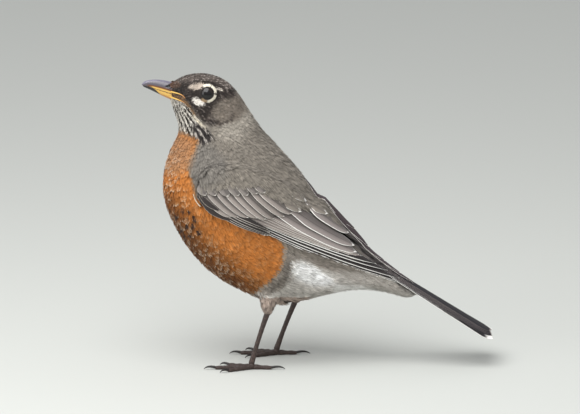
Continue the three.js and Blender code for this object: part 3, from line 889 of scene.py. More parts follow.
def bill_half(name, outer_line, width_share):
    """The mesh of one half of the bill, between the mouth line and its outer line."""

    def place(turn, run):
        edge = smooth_line(MOUTH, run)
        height = smooth_line(outer_line, run) - edge
        angle = (turn / SHELL_SHARE - 0.5) * math.pi
        on_shell = turn <= SHELL_SHARE
        inner = (turn - SHELL_SHARE) / (1 - SHELL_SHARE)
        level = np.where(on_shell, np.maximum(np.cos(angle), 0) ** 0.82, 0.10 * np.sin(inner * math.pi))
        level = 0.035 + level * 0.965
        aside = np.where(on_shell, np.sin(angle), 1 - 2 * inner)
        half = smooth_line(BILL_HALF_WIDTH, run) * width_share
        closing = np.minimum(1, run / 0.03) ** 0.5 * np.minimum(1, (1 - run) / 0.01)
        middle = edge + height * 0.4
        seen = middle + (edge + height * level[:, None] - middle) * closing[:, None]
        return np.stack([seen[:, 0], aside * half * closing, seen[:, 1]], axis=1)

    bm = bmesh.new()
    wrap(bm, 64, 110, place)
    bmesh.ops.remove_doubles(bm, verts=bm.verts, dist=CLOSE)
    if name == "upper_bill":
        for vert in bm.verts:
            gap = math.hypot((vert.co.x - NOSTRIL[0]) / 1.25, (vert.co.z - NOSTRIL[1]) / 0.55) / 1.3
            if gap < 1 and abs(vert.co.y) > 0.8:
                vert.co.y -= math.copysign(NOSTRIL_DEPTH * (1 - gap**2), vert.co.y)
    return mesh_from(name, bm)


def depth_share(points, outer_line):
    """How far each point is from the mouth line, 0, to the outer line, 1, and its run from the tip."""
    runs = np.linspace(0, 1, 200)
    edge, far = smooth_line(MOUTH, runs), smooth_line(outer_line, runs)
    gap = np.linalg.norm(points[:, None, [0, 2]] - edge[None], axis=2)
    nearest_run = gap.argmin(axis=1)
    height = np.linalg.norm(far - edge, axis=1)[nearest_run]
    return gap.min(axis=1) / np.maximum(height, 0.1), runs[nearest_run]


def raise_relief(tree, principled, height, strength, deep):
    """A fine relief in the shading from a node's height. deep is in metres."""
    relief = tree.nodes.new("ShaderNodeBump")
    relief.inputs["Strength"].default_value = strength
    relief.inputs["Distance"].default_value = deep
    tree.links.new(height, relief.inputs["Height"])
    tree.links.new(relief.outputs["Normal"], principled.inputs["Normal"])


horn_finish, horn_tree, horn_shader, horn_height = painted_finish(
    "bill horn", rough=0.34, scale=900, strength=0.3, Coat_Weight=0.25, Coat_Roughness=0.2
)
raise_relief(horn_tree, horn_shader, horn_height, strength=0.15, deep=0.0002)

upper_bill = bill_half("upper_bill", RIDGE, 1)
points = points_of(upper_bill)
level, run = depth_share(points, RIDGE)
# Slate, paler at the top of the ridge: a painted highlight where the light from above falls.
colours = mix(np.tile(SLATE, (len(points), 1)), RIDGE_PAINTED_HIGHLIGHT, ramp(level, 0.72, 1.0))
colours = mix(colours, HORN_BROWN, (1 - ramp(level, 0.32, 0.42)) * ramp(run, 0.1, 0.24))
colours = mix(colours, BILL_YELLOW, (1 - ramp(level, 0.18, 0.26)) * ramp(run, 0.2, 0.34))
nostril_gap = np.hypot((points[:, 0] - NOSTRIL[0]) / 1.2, (points[:, 2] - NOSTRIL[1]) / 0.62)
colours = mix(colours, BILL_BLACK, 1 - ramp(nostril_gap, 0.7, 1.25))
colours = mix(colours, HORN_BROWN * 0.6, ramp(run, 0.78, 0.95) * ramp(level, 0.3, 0.5) * 0.8)
paint(upper_bill, colours)
add_piece("upper_bill", upper_bill, horn_finish, "bill_ridge", ["bill_upper"])

lower_bill = bill_half("lower_bill", KEEL, 0.9)
points = points_of(lower_bill)
level, run = depth_share(points, KEEL)
colours = mix(np.tile(BILL_YELLOW, (len(points), 1)), BILL_ORANGE, ramp(level, 0.35, 0.75))
colours = mix(colours, HORN_BROWN, ramp(level, 0.75, 1.0) * 0.7)
colours = mix(colours, BILL_BLACK, ramp(level - np.interp(run, *zip(*BLACK_WEDGE)), -0.05, 0.1))
paint(lower_bill, colours)
add_piece("lower_bill", lower_bill, horn_finish, "bill_yellow", ["bill_lower"])

# Forehead fringe: tiny feathers and a few dark bristles that lie over the root of the bill and break its
# edge. The feathers point back, the bristles forward.
FRINGE_LINE = [(-82.2, 160.5), (-83.1, 159.9), (-83.3, 158.8), (-82.6, 157.6)]  # front edge, top to bottom
FRINGE_DEPTH = 1.6
FRINGE_FEATHERS = 90
FRINGE_WIDTH = 0.6
BRISTLES = 14
BRISTLE_WIDTH = 0.16
BRISTLE_COLOUR = (38, 32, 30)
VIEW_WAY = Vector((0, 1, -RISE)).normalized()


def seen_from(x, h):
    """A place far out on the bird's left, from which VIEW_WAY leads to (x, h) in the side view."""
    return Vector((x, -100, h + 100 * RISE))


def bill_fringe(mirror, rng):
    """Paths over the root of the bill, with their lengths, widths and colours."""
    sides = [face.vertices for face in upper_bill.polygons]
    tree = BVHTree.FromPolygons([vert.co / MM for vert in upper_bill.vertices], sides)
    paths, lengths, widths, colours = [], [], [], []
    steps = np.linspace(0, 1, BLADE_STEPS + 1)[:, None]
    for i in range(FRINGE_FEATHERS + BRISTLES):
        bristle = i >= FRINGE_FEATHERS
        x, h = smooth_line(FRINGE_LINE, rng.random())
        x += FRINGE_DEPTH * rng.random()
        root, normal, _, _ = tree.ray_cast(seen_from(x, h), VIEW_WAY)
        if root is None:
            continue
        length = rng.uniform(2.2, 3.6) if bristle else rng.uniform(1.3, 1.9)
        way = Vector((-0.8, -0.5, -0.45)) if bristle else Vector((0.9, -0.2, rng.uniform(-0.15, 0.22)))
        rise = 0.4 * np.sin(steps * math.pi / 2) if bristle else 0.15 * steps
        path = np.array(root) + np.array(way.normalized()) * length * steps + np.array(normal) * rise
        paths.append(path * [1, mirror, 1])
        lengths.append(length)
        widths.append(BRISTLE_WIDTH if bristle else FRINGE_WIDTH)
        tint = np.array(BRISTLE_COLOUR) if bristle else plumage_colour(path[2:3], rng)[0][0]
        colours.append(tint * rng.uniform(0.8, 1.25))
    return (np.array(values) for values in (paths, lengths, widths, colours))


for side, mirror in (("left", 1), ("right", -1)):
    path, lengths, widths, colours = bill_fringe(mirror, rng)
    none = np.zeros(len(path))
    facing = np.broadcast_to(np.array([0, -mirror, 0.3]), path.shape)
    roots, normals = path[:, 0], facing[:, 0]
    grown = grow_feathers(roots, normals, lengths, widths, none, none, 3, rng, paths=(path, facing))
    slot = "crown_feathers"
    add_feathers(f"bill_fringe_{side}", slot, grown, roots, colours[:, None, None], 0, 0.2)

# Gape: the soft fleshy edge of the mouth that runs back from the bill over the face, one fold above the
# mouth's corner and one below it.
GAPE_FOLDS = [
    [(-84.5, 155.9), (-81.4, 155.1), (-78.4, 154.3), (-75.9, 153.2), (-74.2, 151.4)],
    [(-84.6, 153.0), (-81.4, 151.9), (-78.8, 150.9), (-76.4, 149.9), (-74.6, 148.9)],
]
FOLD_STEPS = 28
FOLD_SUNK = 0.05
RIDGE_SIDE = -0.7  # how near the middle of the back a feather may come


def on_surface(x, h, level=0.0, mirror=1):
    """The place on the outer surface seen at (x, h) in the side view, raised by level, and its direction."""
    place, normal, _, _ = outer.ray_cast(seen_from(x, h), VIEW_WAY)
    if place is None or place.y > RIDGE_SIDE:
        place, normal, _, _ = outer.find_nearest(Vector((x, RIDGE_SIDE, h + 1)))
    place = place + normal * level
    return Vector((place.x, place.y * mirror, place.z)), Vector((normal.x, normal.y * mirror, normal.z))


def tube(bm, path, radii, around=16, flat=1.0):
    """A round-ended tube along a path of points, with a radius at each."""
    path = np.array(path)
    ahead = unit(np.gradient(path, axis=0))
    axis = 0 if np.abs(ahead[:, 2]).mean() > 0.8 else 2
    up = unit(np.eye(3)[axis] - ahead * ahead[:, axis : axis + 1])
    side = np.cross(ahead, up)
    last = len(path) - 1

    def place(turn, run):
        spot = run * last
        cell = np.minimum(spot.astype(int), last - 1)
        t = (spot - cell)[:, None]
        middle = path[cell] * (1 - t) + path[cell + 1] * t
        radius = np.interp(spot, np.arange(last + 1), radii)
        for end in (run, 1 - run):
            radius = radius * np.sqrt(np.clip(1 - (1 - np.minimum(1, end / 0.03)) ** 2, 0, 1))
        angle = turn * 2 * math.pi
        rise = up[cell] * (1 - t) + up[cell + 1] * t
        out = side[cell] * (1 - t) + side[cell + 1] * t
        ring = rise * np.cos(angle)[:, None] + out * np.sin(angle)[:, None] * flat
        return middle + ring * radius[:, None]

    wrap(bm, around, last, place)


gape_bm = bmesh.new()
fold_radii = np.interp(np.linspace(0, 1, FOLD_STEPS), [0, 0.3, 1], [0.6, 0.42, 0.16])
for fold in GAPE_FOLDS:
    line = smooth_line(fold, np.linspace(0, 1, FOLD_STEPS))
    for mirror in (1, -1):
        tube(gape_bm, [on_surface(x, h, -FOLD_SUNK, mirror)[0] for x, h in line], fold_radii)
bmesh.ops.remove_doubles(gape_bm, verts=gape_bm.verts, dist=CLOSE)
gape = mesh_from("gape", gape_bm)
points = points_of(gape)
paint(gape, mix(np.tile(BILL_YELLOW, (len(points), 1)), BILL_ORANGE, ramp(points[:, 0], -79, -74.5)))
add_piece("gape", gape, horn_finish, "bill_yellow")

# ----------------------------------------------------------------------------------------------------------
# Eyes: wet dark balls, nearly black, set in the head up to their widest part. A thin dark lid rings each,
# and two arcs of tiny white feathers lie round the lid.
eye_low, eye_high = (np.array(corner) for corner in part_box("eye_left"))
EYE_AT = (eye_low + eye_high) / 2 / MM
EYE_RADIUS = (eye_high[0] - eye_low[0]) / 2 / MM
IRIS = (*light_of((30, 20, 15)), 1)
PUPIL = (*light_of((10, 8, 8)), 1)
PUPIL_RADIUS = 0.55 * EYE_RADIUS
IRIS_EDGE = 0.06 * EYE_RADIUS
LID = [  # the lid's section, as distances from the eye's middle outwards and towards the viewer
    (3.25, 3.62), (3.3, 3.86), (3.55, 4.0), (3.9, 3.86), (4.5, 3.35), (5.4, 2.5), (6.3, 1.5), (6.2, 0.9),
    (5.2, 1.2),
]
LID_COLOUR = (*light_of((26, 22, 21)), 1)


def map_range(tree, value, low, high, **settings):
    """A Map Range node's result. low and high are nodes' outputs or fixed numbers."""
    node = tree.nodes.new("ShaderNodeMapRange")
    for setting, chosen in settings.items():
        setattr(node, setting, chosen)
    feed(tree, value, node.inputs["Value"])
    feed(tree, low, node.inputs["From Min"])
    feed(tree, high, node.inputs["From Max"])
    return node.outputs["Result"]


_, eye_way = nearest((EYE_AT + [0, -4, 0])[None])
eye_way = unit(eye_way[0] * [0.6, 1, 0.5])
eye_finish, eye_tree, eye_shader = shader("wet eye", rough=0.14)
place = eye_tree.nodes.new("ShaderNodeTexCoord")
centre = eye_tree.nodes.new("ShaderNodeMapping")
centre.inputs["Location"].default_value = (-EYE_AT[0] * MM, 0, -EYE_AT[2] * MM)
centre.inputs["Scale"].default_value = (1, 0, 1)
eye_tree.links.new(place.outputs["Object"], centre.inputs["Vector"])
distance = eye_tree.nodes.new("ShaderNodeVectorMath")
distance.operation = "LENGTH"
eye_tree.links.new(centre.outputs["Vector"], distance.inputs[0])
pupil_low, pupil_high = PUPIL_RADIUS * MM, (PUPIL_RADIUS + IRIS_EDGE) * MM
in_iris = map_range(eye_tree, distance.outputs["Value"], pupil_low, pupil_high)
iris = blend(eye_tree, PUPIL, IRIS, in_iris)
use_mottle(eye_tree, eye_shader, iris, scale=2600, strength=0.5)

lid_finish, lid_tree, lid_shader = shader("lid skin", rough=0.5)
lid_height = use_mottle(lid_tree, lid_shader, LID_COLOUR, scale=3000, strength=0.5)
raise_relief(lid_tree, lid_shader, lid_height, strength=0.4, deep=0.0002)

for side, mirror in (("left", 1), ("right", -1)):
    flip = np.array([1, mirror, 1])
    middle, way = Vector(EYE_AT * flip), Vector(eye_way * flip)
    bm = bmesh.new()
    bmesh.ops.create_uvsphere(bm, u_segments=48, v_segments=32, radius=EYE_RADIUS)
    bmesh.ops.translate(bm, vec=middle, verts=bm.verts)
    name = f"eye_{side}_ball"
    add_piece(name, mesh_from(name, bm), eye_finish, "eye", [f"eye_{side}"])

    bm = bmesh.new()
    aside = way.cross(Vector((0, 0, 1))).normalized()
    bm.faces.new([bm.verts.new(middle + aside * radius + way * height) for radius, height in LID])
    section = bm.faces[:] + bm.edges[:] + bm.verts[:]
    whole = 2 * math.pi
    bmesh.ops.spin(bm, geom=section, cent=middle, axis=way, angle=whole, steps=72, use_merge=True)
    bmesh.ops.remove_doubles(bm, verts=bm.verts, dist=0.001)
    inner_faces = [face for face in bm.faces if len(face.verts) > 4]
    bmesh.ops.delete(bm, geom=inner_faces, context="FACES_ONLY")
    add_piece(f"lid_{side}", mesh_from(f"lid_{side}", bm), lid_finish, "crown_feathers")

# Eye ring: rows of tiny feathers that spread from the lid, white over the eye from front to back and under
# it behind, buff under it in front, dark elsewhere.
EYE_RING = (234, 226, 208)
EYE_RING_BUFF = (204, 174, 136)
RING_DARK = (58, 51, 47)
RING_ROWS = [  # radius at the root, length
    (3.7, 1.05), (4.05, 1.1), (4.45, 1.1), (4.9, 1.3), (5.4, 1.5), (5.9, 1.6),
]
RING_FEATHERS = 66
RING_WIDTH = 0.62
RING_ABOVE = 0.12  # the least height over the plumage
RING_OUTSIDE = 4.6  # from this radius the feathers have the head's colours


def ring_colour(turn):
    """The ring's colour and its share of white. turn is 0 behind the eye and pi / 2 above it."""
    degrees = np.degrees(turn)
    white = ramp(degrees, -6, 4) * (1 - ramp(degrees, 116, 130))
    white = np.maximum(white, ramp(degrees, -104, -88) * (1 - ramp(degrees, -16, -8)))
    buff = ramp(degrees, -150, -128) * (1 - ramp(degrees, -104, -88))
    colour = np.tile(np.array(RING_DARK, float), (len(turn), 1))
    return mix(mix(colour, EYE_RING_BUFF, buff), EYE_RING, white), white


ring_starts, ring_lengths, ring_turns = [], [], []
for row, (start, length) in enumerate(RING_ROWS):
    for i in range(RING_FEATHERS):
        turn = (i + 0.5 * (row % 2)) / RING_FEATHERS * 2 * math.pi - math.pi
        ring_turns.append(turn + rng.normal(0, 0.02))
        ring_starts.append(start + rng.normal(0, 0.06))
        ring_lengths.append(length * rng.uniform(0.85, 1.1))
ring_turns, ring_starts, ring_lengths = map(np.array, (ring_turns, ring_starts, ring_lengths))
ring_aside = unit(np.cross([0, 0, 1.0], eye_way))
ring_aside = ring_aside * np.sign(ring_aside[0])
ring_up = unit(np.cross(eye_way, ring_aside))
ring_up = ring_up * np.sign(ring_up[2])
radial = np.cos(ring_turns)[:, None] * ring_aside + np.sin(ring_turns)[:, None] * ring_up
lid_radii, lid_heights = zip(*LID[1:7])
for side, mirror in (("left", 1), ("right", -1)):
    flip = np.array([1, mirror, 1])
    steps = np.linspace(0, 1, BLADE_STEPS + 1)
    reach = ring_starts[:, None] + ring_lengths[:, None] * steps[None]
    height = np.interp(reach, lid_radii, lid_heights) + 0.04 + 0.3 * steps[None]
    path = (EYE_AT + radial[:, None] * reach[..., None] + eye_way * height[..., None]).reshape(-1, 3)
    surface, surface_normals = nearest(path)
    above = ((path - surface) * surface_normals).sum(1)
    path = path + surface_normals * np.maximum(0, RING_ABOVE - above)[:, None]
    path = path.reshape(reach.shape + (3,)) * flip
    facing = np.broadcast_to(eye_way * flip, path.shape)
    none = np.zeros(len(path))
    roots, normals, widths = path[:, 0], facing[:, 0], none + RING_WIDTH
    grown = grow_feathers(roots, normals, ring_lengths, widths, none, none, 4, rng, paths=(path, facing))
    along = grown[1]
    around, _ = plumage_colour(path[:, 2], rng)
    colour, white = ring_colour(ring_turns)
    own = np.maximum(white, 0.75 * (colour[:, 0] > 100))
    own = own * (1 - ramp(ring_starts, RING_OUTSIDE, RING_OUTSIDE + 0.2))
    # Each ring feather is darker towards its root: partly its own greyer base and partly painted shade under
    # the feathers around it.
    tone = (0.75 + 0.25 * ramp(along, 0, 0.5)) * (1 + rng.normal(0, 0.05, along.shape[:2]))[..., None]
    shown = mix(around, colour, own)[:, None, None] * tone[..., None]
    add_feathers(f"eye_ring_{side}", "crown_feathers", grown, roots, shown, 0, 0.2)

# ----------------------------------------------------------------------------------------------------------
# Wing feathers: vanes, each a thin curved blade with a shaft and a pale fringe, laid like roof tiles. The
# nearer the back a feather is, the higher it lies. Both wings are alike.
VANE_THICK = 0.1
MIDLINE_GAP = 0.5  # how near the bird's middle line a folded wing's inner edges come
BARBS = 340  # along a vane
BARB_SLANT = 90
SHAFT_HALF = 0.022  # of the vane's width

# Vane pattern: colours a vane by its own map, with shaft, barbs and a pale fringe at the edges and the tip,
# and painted shade towards the inner edge, where the next feather lies over it.
vane, given, result = new_group(
    "vane pattern", Centre="Color", Fringe="Color", Shaft="Color", Outer_width="Float", Inner_width="Float",
    Tip_width="Float", Strength="Float", Inner_shade="Float",
)


def work(operation, *values):
    return number(vane, operation, *values)


def edge_mask(distance, width):
    """1 at an edge, falling to 0 at the fringe's width."""
    rise = map_range(vane, distance, work("MULTIPLY", width, 0.45), width, interpolation_type="SMOOTHSTEP")
    return work("SUBTRACT", 1, rise)


vane_map = vane.nodes.new("ShaderNodeUVMap")
vane_map.uv_map = "vane"
split = vane.nodes.new("ShaderNodeSeparateXYZ")
vane.links.new(vane_map.outputs["UV"], split.inputs[0])
from_edge, from_root = split.outputs["X"], split.outputs["Y"]
vane_grain = grain(vane, 900, detail=4)
ragged = work("MULTIPLY_ADD", vane_grain, 0.06, -0.03)
across = work("ADD", from_edge, ragged)
along = work("ADD", from_root, work("MULTIPLY", ragged, 0.5))
off_shaft = work("ABSOLUTE", work("SUBTRACT", from_edge, 0.5))
outer_edge = edge_mask(across, given["Outer width"])
inner_edge = edge_mask(work("SUBTRACT", 1, across), given["Inner width"])
tip_edge = edge_mask(work("SUBTRACT", 1, along), given["Tip width"])
fringe = work("MAXIMUM", outer_edge, work("MAXIMUM", inner_edge, tip_edge))
fringe = work("MULTIPLY", fringe, given["Strength"])
barb_run = work("ADD", work("MULTIPLY", from_root, BARBS), work("MULTIPLY", off_shaft, BARB_SLANT))
barbs = work("SINE", work("ADD", barb_run, work("MULTIPLY", vane_grain, 9)))
tone = work("MULTIPLY", work("MULTIPLY_ADD", barbs, 0.03, 1),
            work("MULTIPLY_ADD", work("MINIMUM", off_shaft, 0.3), 0.5, 0.88))
feather_tone = vane.nodes.new("ShaderNodeAttribute")
feather_tone.attribute_name = "tone"
tone = work("MULTIPLY", tone, feather_tone.outputs["Fac"])
tone = work("MULTIPLY", tone, work("MULTIPLY_ADD", vane_grain, 0.3, 0.85))
# Painted shade: the vane darkens towards its inner edge, where the next feather overlaps it.
painted_overlap_shade = map_range(vane, from_edge, 0.12, 0.75, interpolation_type="SMOOTHSTEP")
painted_overlap_shade = work("MULTIPLY", painted_overlap_shade, given["Inner shade"])
tone = work("MULTIPLY", tone, work("SUBTRACT", 1, painted_overlap_shade))
shaft = work("LESS_THAN", off_shaft, SHAFT_HALF)
centre = blend(vane, given["Centre"], given["Shaft"], work("MULTIPLY", shaft, 0.8))
shown = blend(vane, blend(vane, centre, given["Fringe"], fringe), tone, 1, "MULTIPLY")
vane.links.new(shown, result["Colour"])
height = work("ADD", work("MULTIPLY", barbs, 0.25), work("MULTIPLY", shaft, 1.2))
vane.links.new(height, result["Height"])


def vane_finish(name, centre, fringe, shaft, widths, strength=1.0, shade=0.0, gloss=0.35):
    """A matt vane in its own colours, with painted shade towards its inner edge. widths are the fringe's
    outside, inside and at the tip, as shares.
    """
    soft = dict(Sheen_Weight=0.17 * gloss, Specular_IOR_Level=gloss)
    material, tree, principled = shader(name, rough=0.62, **soft)
    node = tree.nodes.new("ShaderNodeGroup")
    node.node_tree = vane
    for socket, tint in (("Centre", centre), ("Fringe", fringe), ("Shaft", shaft)):
        node.inputs[socket].default_value = (*light_of(tint), 1)
    for socket, value in zip(("Outer width", "Inner width", "Tip width"), widths):
        node.inputs[socket].default_value = value
    node.inputs["Strength"].default_value = strength
    node.inputs["Inner shade"].default_value = shade
    tree.links.new(node.outputs["Colour"], principled.inputs["Base Color"])
    raise_relief(tree, principled, node.outputs["Height"], strength=0.35, deep=0.00012)
    return material


def lay_vane(bm, place, tone, across=8, along=20):
    """Adds one vane. place(u, v) gives its points: u from -1 outside to 1, v from 0 at the root to 1."""
    uv = bm.loops.layers.uv.get("vane") or bm.loops.layers.uv.new("vane")
    tones = bm.verts.layers.float.get("tone") or bm.verts.layers.float.new("tone")
    made = bmesh.ops.create_grid(bm, x_segments=across, y_segments=along, size=1)["verts"]
    flat = {vert: (vert.co.x, vert.co.y * 0.5 + 0.5) for vert in made}
    for vert, (u, v) in flat.items():
        vert.co = place(u, v)
        vert[tones] = tone
        for loop in vert.link_loops:
            loop[uv].uv = (u * 0.5 + 0.5, v)


def vane_mesh(name, bm, outward, thick=VANE_THICK):
    """A mesh of vanes, that face one way and are given their thickness."""
    bmesh.ops.recalc_face_normals(bm, faces=bm.faces)
    for face in bm.faces:
        if face.normal.dot(Vector(outward)) < 0:
            face.normal_flip()
    bmesh.ops.solidify(bm, geom=bm.faces[:], thickness=thick)
    return mesh_from(name, bm, turned=True)


def vane_outline(v, tip_from, pointed):
    """Half-width of a vane along its length, as a share of its widest."""
    root = min(1, 0.45 + 1.5 * v)
    if v <= tip_from:
        return root
    over = (v - tip_from) / (1 - tip_from)
    return root * max(0.0, 1 - over**pointed) ** 0.62


# Each row: how many feathers, the widths of the outermost and innermost, the share of the width outside the
# shaft, where the shafts' roots and tips lie in the side view from the outermost feather to the innermost,
# how much the shafts bow towards the breast, the tips' height over the plumage, how much deeper the roots
# lie, how much a vane sinks in mm per mm from its outer edge inwards, how far back the tip's curve starts,
# its shape and how ragged it is.
PRIMARIES = dict(
    count=5, width=(5.6, 6.8), outside=0.24, roots=[(-46.3, 82.5), (-40, 81.8), (-33.5, 80.8)],
    tips=[(57.6, 42.7), (50, 45.6), (41, 51), (32, 56.2)], bow=(0.022, -0.002), height=(-0.6, -0.2),
    dip=0.5, roll=0.18, tip_from=0.62, pointed=1.5, ragged=0, tip_lift=1.2,
)
SECONDARIES = dict(
    count=6, width=(6.4, 7.2), outside=0.28, roots=[(-48, 85.6), (-40, 87.2), (-34, 88.4)],
    tips=[(30.5, 57.0), (26.6, 59.2), (23.2, 62.0)], bow=(-0.010, 0.0), height=(-0.15, 0.15),
    dip=0.7, roll=0.16, tip_from=0.84, pointed=2.2, ragged=0,
)
TERTIALS = dict(
    count=3, width=(8.4, 9.8), outside=0.46, roots=[(-27, 89.5), (-20, 93), (-11, 99)],
    tips=[(22.0, 63.4), (20.6, 67.2), (17.2, 74.8)], bow=(0.02, 0.045), height=(0.3, 0.65),
    dip=0.8, roll=0.12, tip_from=0.72, pointed=2.0, ragged=0.006,
)
PRIMARY_COVERTS = dict(
    count=5, width=(2.6, 2.8), outside=0.35, roots=[(-60, 87.4), (-58, 88.8), (-56, 90)],
    tips=[(-29.5, 73.2), (-26.2, 73.4), (-28.4, 76.6)], bow=(0.035, 0.01), height=(0.15, 0.3),
    dip=0.5, roll=0.14, tip_from=0.45, pointed=1.3, ragged=0,
)
ALULA = dict(
    count=2, width=(4.0, 3.0), outside=0.6, roots=[(-68.4, 96.4), (-67.2, 97.4)],
    tips=[(-48.6, 81.7), (-55, 87.2)], bow=(0.075, 0.05), height=(0.45, 0.5),
    dip=0.6, roll=0.12, tip_from=0.5, pointed=1.7, ragged=0,
)
WING_EDGE = dict(
    count=1, width=(0.6, 0.6), outside=0.5, roots=[(-69.5, 96.6), (-69.4, 96.6)],
    tips=[(-65, 89.8), (-65, 89.8)], bow=(0.1, 0.1), height=(0.45, 0.45),
    dip=0.2, roll=0.1, tip_from=0.3, pointed=1.5, ragged=0,
)
GREATER_COVERTS = dict(
    count=8, width=(6.4, 8.0), outside=0.36,
    roots=[(-68.6, 101.6), (-58.5, 103.4), (-48, 104.2), (-36.5, 103.4)],
    tips=[(-48.3, 83.4), (-37.0, 83.2), (-26.0, 82.0), (-14.8, 85.4)], bow=(0.05, 0.02), height=(0.35, 0.6),
    dip=1.5, roll=0.16, tip_from=0.7, pointed=2.3, ragged=0.012,
)
MEDIAN_COVERTS = dict(
    count=7, width=(6.4, 7.4), outside=0.42,
    roots=[(-68.0, 107), (-56, 108.4), (-45.5, 108.4), (-37.0, 108.8)],
    tips=[(-62.3, 95.8), (-49.8, 95.4), (-39.2, 95.6), (-29.6, 97.4)], bow=(0.08, 0.03), height=(0.5, 0.6),
    dip=2.6, roll=0.14, tip_from=0.55, pointed=2.2, ragged=0.03,
)
TERTIAL_COVERTS = dict(
    count=3, width=(7.8, 6.6), outside=0.45, roots=[(-13, 100), (-27, 101.5), (-21, 105)],
    tips=[(5.6, 85.0), (-9.2, 86.4), (-6.4, 92.8)], bow=(0.04, 0.03), height=(0.65, 0.45),
    dip=2.6, roll=0.1, tip_from=0.55, pointed=2.2, ragged=0.05,
)
WING_LAYERS = [  # piece, finish, slot, row, colours of centre, fringe and shaft, fringe's widths, changes
    ("primaries", "primary vane", "flight_feathers", PRIMARIES,
     (44, 37, 36), (255, 253, 248), (34, 30, 29), (0.18, 0.02, 0.012), dict(shade=0.3)),
    ("secondaries", "secondary vane", "flight_feathers", SECONDARIES,
     (136, 126, 121), (232, 226, 218), (84, 76, 72), (0.075, 0.02, 0.02), dict(shade=0.85)),
    ("tertials", "tertial vane", "flight_feathers", TERTIALS,
     (142, 133, 129), (252, 249, 244), (92, 84, 80), (0.085, 0.07, 0.045), dict(shade=0.55)),
    ("primary_coverts", "primary covert vane", "wing_coverts", PRIMARY_COVERTS,
     (54, 47, 45), (220, 213, 204), (46, 40, 38), (0.16, 0.02, 0.02), dict(shade=0.5)),
    ("alula", "alula vane", "wing_coverts", ALULA,
     (46, 39, 37), (196, 186, 174), (42, 36, 34), (0.07, 0.03, 0.02), dict(shade=0.2)),
    ("wing_edge", "wing edge vane", "wing_coverts", WING_EDGE,
     (204, 192, 172), (226, 216, 200), (190, 172, 150), (0.2, 0.1, 0.1), {}),
    ("greater_coverts", "greater covert vane", "wing_coverts", GREATER_COVERTS,
     (144, 135, 129), (234, 228, 220), (104, 96, 90), (0.055, 0.02, 0.035), dict(shade=0.75)),
    ("median_coverts", "median covert vane", "wing_coverts", MEDIAN_COVERTS,
     (122, 115, 110), (214, 208, 199), (92, 86, 82), (0.05, 0.04, 0.07), dict(strength=0.9, shade=0.5)),
    ("tertial_coverts", "tertial covert vane", "wing_coverts", TERTIAL_COVERTS,
     (132, 124, 115), (244, 241, 235), (100, 92, 86), (0.05, 0.04, 0.09), dict(shade=0.25)),
]
REPLACED = {  # the wing's four solid groups, each shown by one row
    "primaries": "primaries",
    "secondaries": "secondaries",
    "tertials": "tertials",
    "greater_coverts": "coverts",
}
WING_SEED = 31


def lay_row(bm, row, rng, shaft_place, mirror=1, laps=False):
    """Lays one row of the folded wing, the outermost feather first. shaft_place(x, h) finds a place on the
    bird. A row that laps over the back may cross the middle line."""
    count, outside = row["count"], row["outside"]
    for i in range(count):
        share = i / max(1, count - 1)
        root = smooth_line(row["roots"], share)
        tip = smooth_line(row["tips"], share) + rng.normal(0, 0.15, 2)
        width, bow, height = (np.interp(share, [0, 1], row[name]) for name in ("width", "bow", "height"))
        outer_half = width * outside
        run = tip - root
        length = np.linalg.norm(run)
        inwards = np.array([-run[1], run[0]]) / length  # in the side view, towards the back
        notches = rng.random(9) * row["ragged"]

        def shaft(v):
            at = root + run * v - inwards * bow * length * math.sin(v * math.pi)
            return shaft_place(at[0], at[1])

        def place(u, v):
            reach = v * (1 - np.interp(u, np.linspace(-1, 1, len(notches)), notches))
            middle, normal = shaft(reach)
            ahead = shaft(reach + 0.02)[0] - shaft(reach - 0.02)[0]
            across = normal.cross(ahead).normalized()
            half = width * (outside if u < 0 else 1 - outside)
            half *= vane_outline(v, row["tip_from"], row["pointed"])
            spot, facing, _, _ = outer.find_nearest(middle + across * (u * half))
            if spot.y > -MIDLINE_GAP and not laps:
                spot, facing, _, _ = outer.find_nearest(Vector((spot.x, -MIDLINE_GAP, spot.z)))
            level = height - row["roll"] * (u * half + outer_half) - row["dip"] * (1 - v) ** 1.5
            level += row.get("tip_lift", 0) * v**4
            if laps:
                level += np.interp(spot.x, *zip(*LAP_ARCH)) * (1 - (u * half / outer_half) ** 2)
            spot = spot + facing * (level + 0.1 * (1 - u * u))
            return Vector((spot.x, spot.y * mirror, spot.z))

        lay_vane(bm, place, rng.uniform(0.92, 1.07))


for name, vane_name, slot, row, centre, fringe, shaft, widths, changes in WING_LAYERS:
    finish = vane_finish(vane_name, centre, fringe, shaft, widths, **changes)
    for side, mirror in (("left", 1), ("right", -1)):
        bm = bmesh.new()
        lay_row(bm, row, np.random.default_rng(WING_SEED), on_surface, mirror)
        mesh = vane_mesh(f"{name}_{side}", bm, outward=(0, -mirror, 0.8))
        replaced = [f"wing_{side}_{REPLACED[name]}"] if name in REPLACED else []
        add_piece(mesh.name, mesh, finish, slot, replaced)


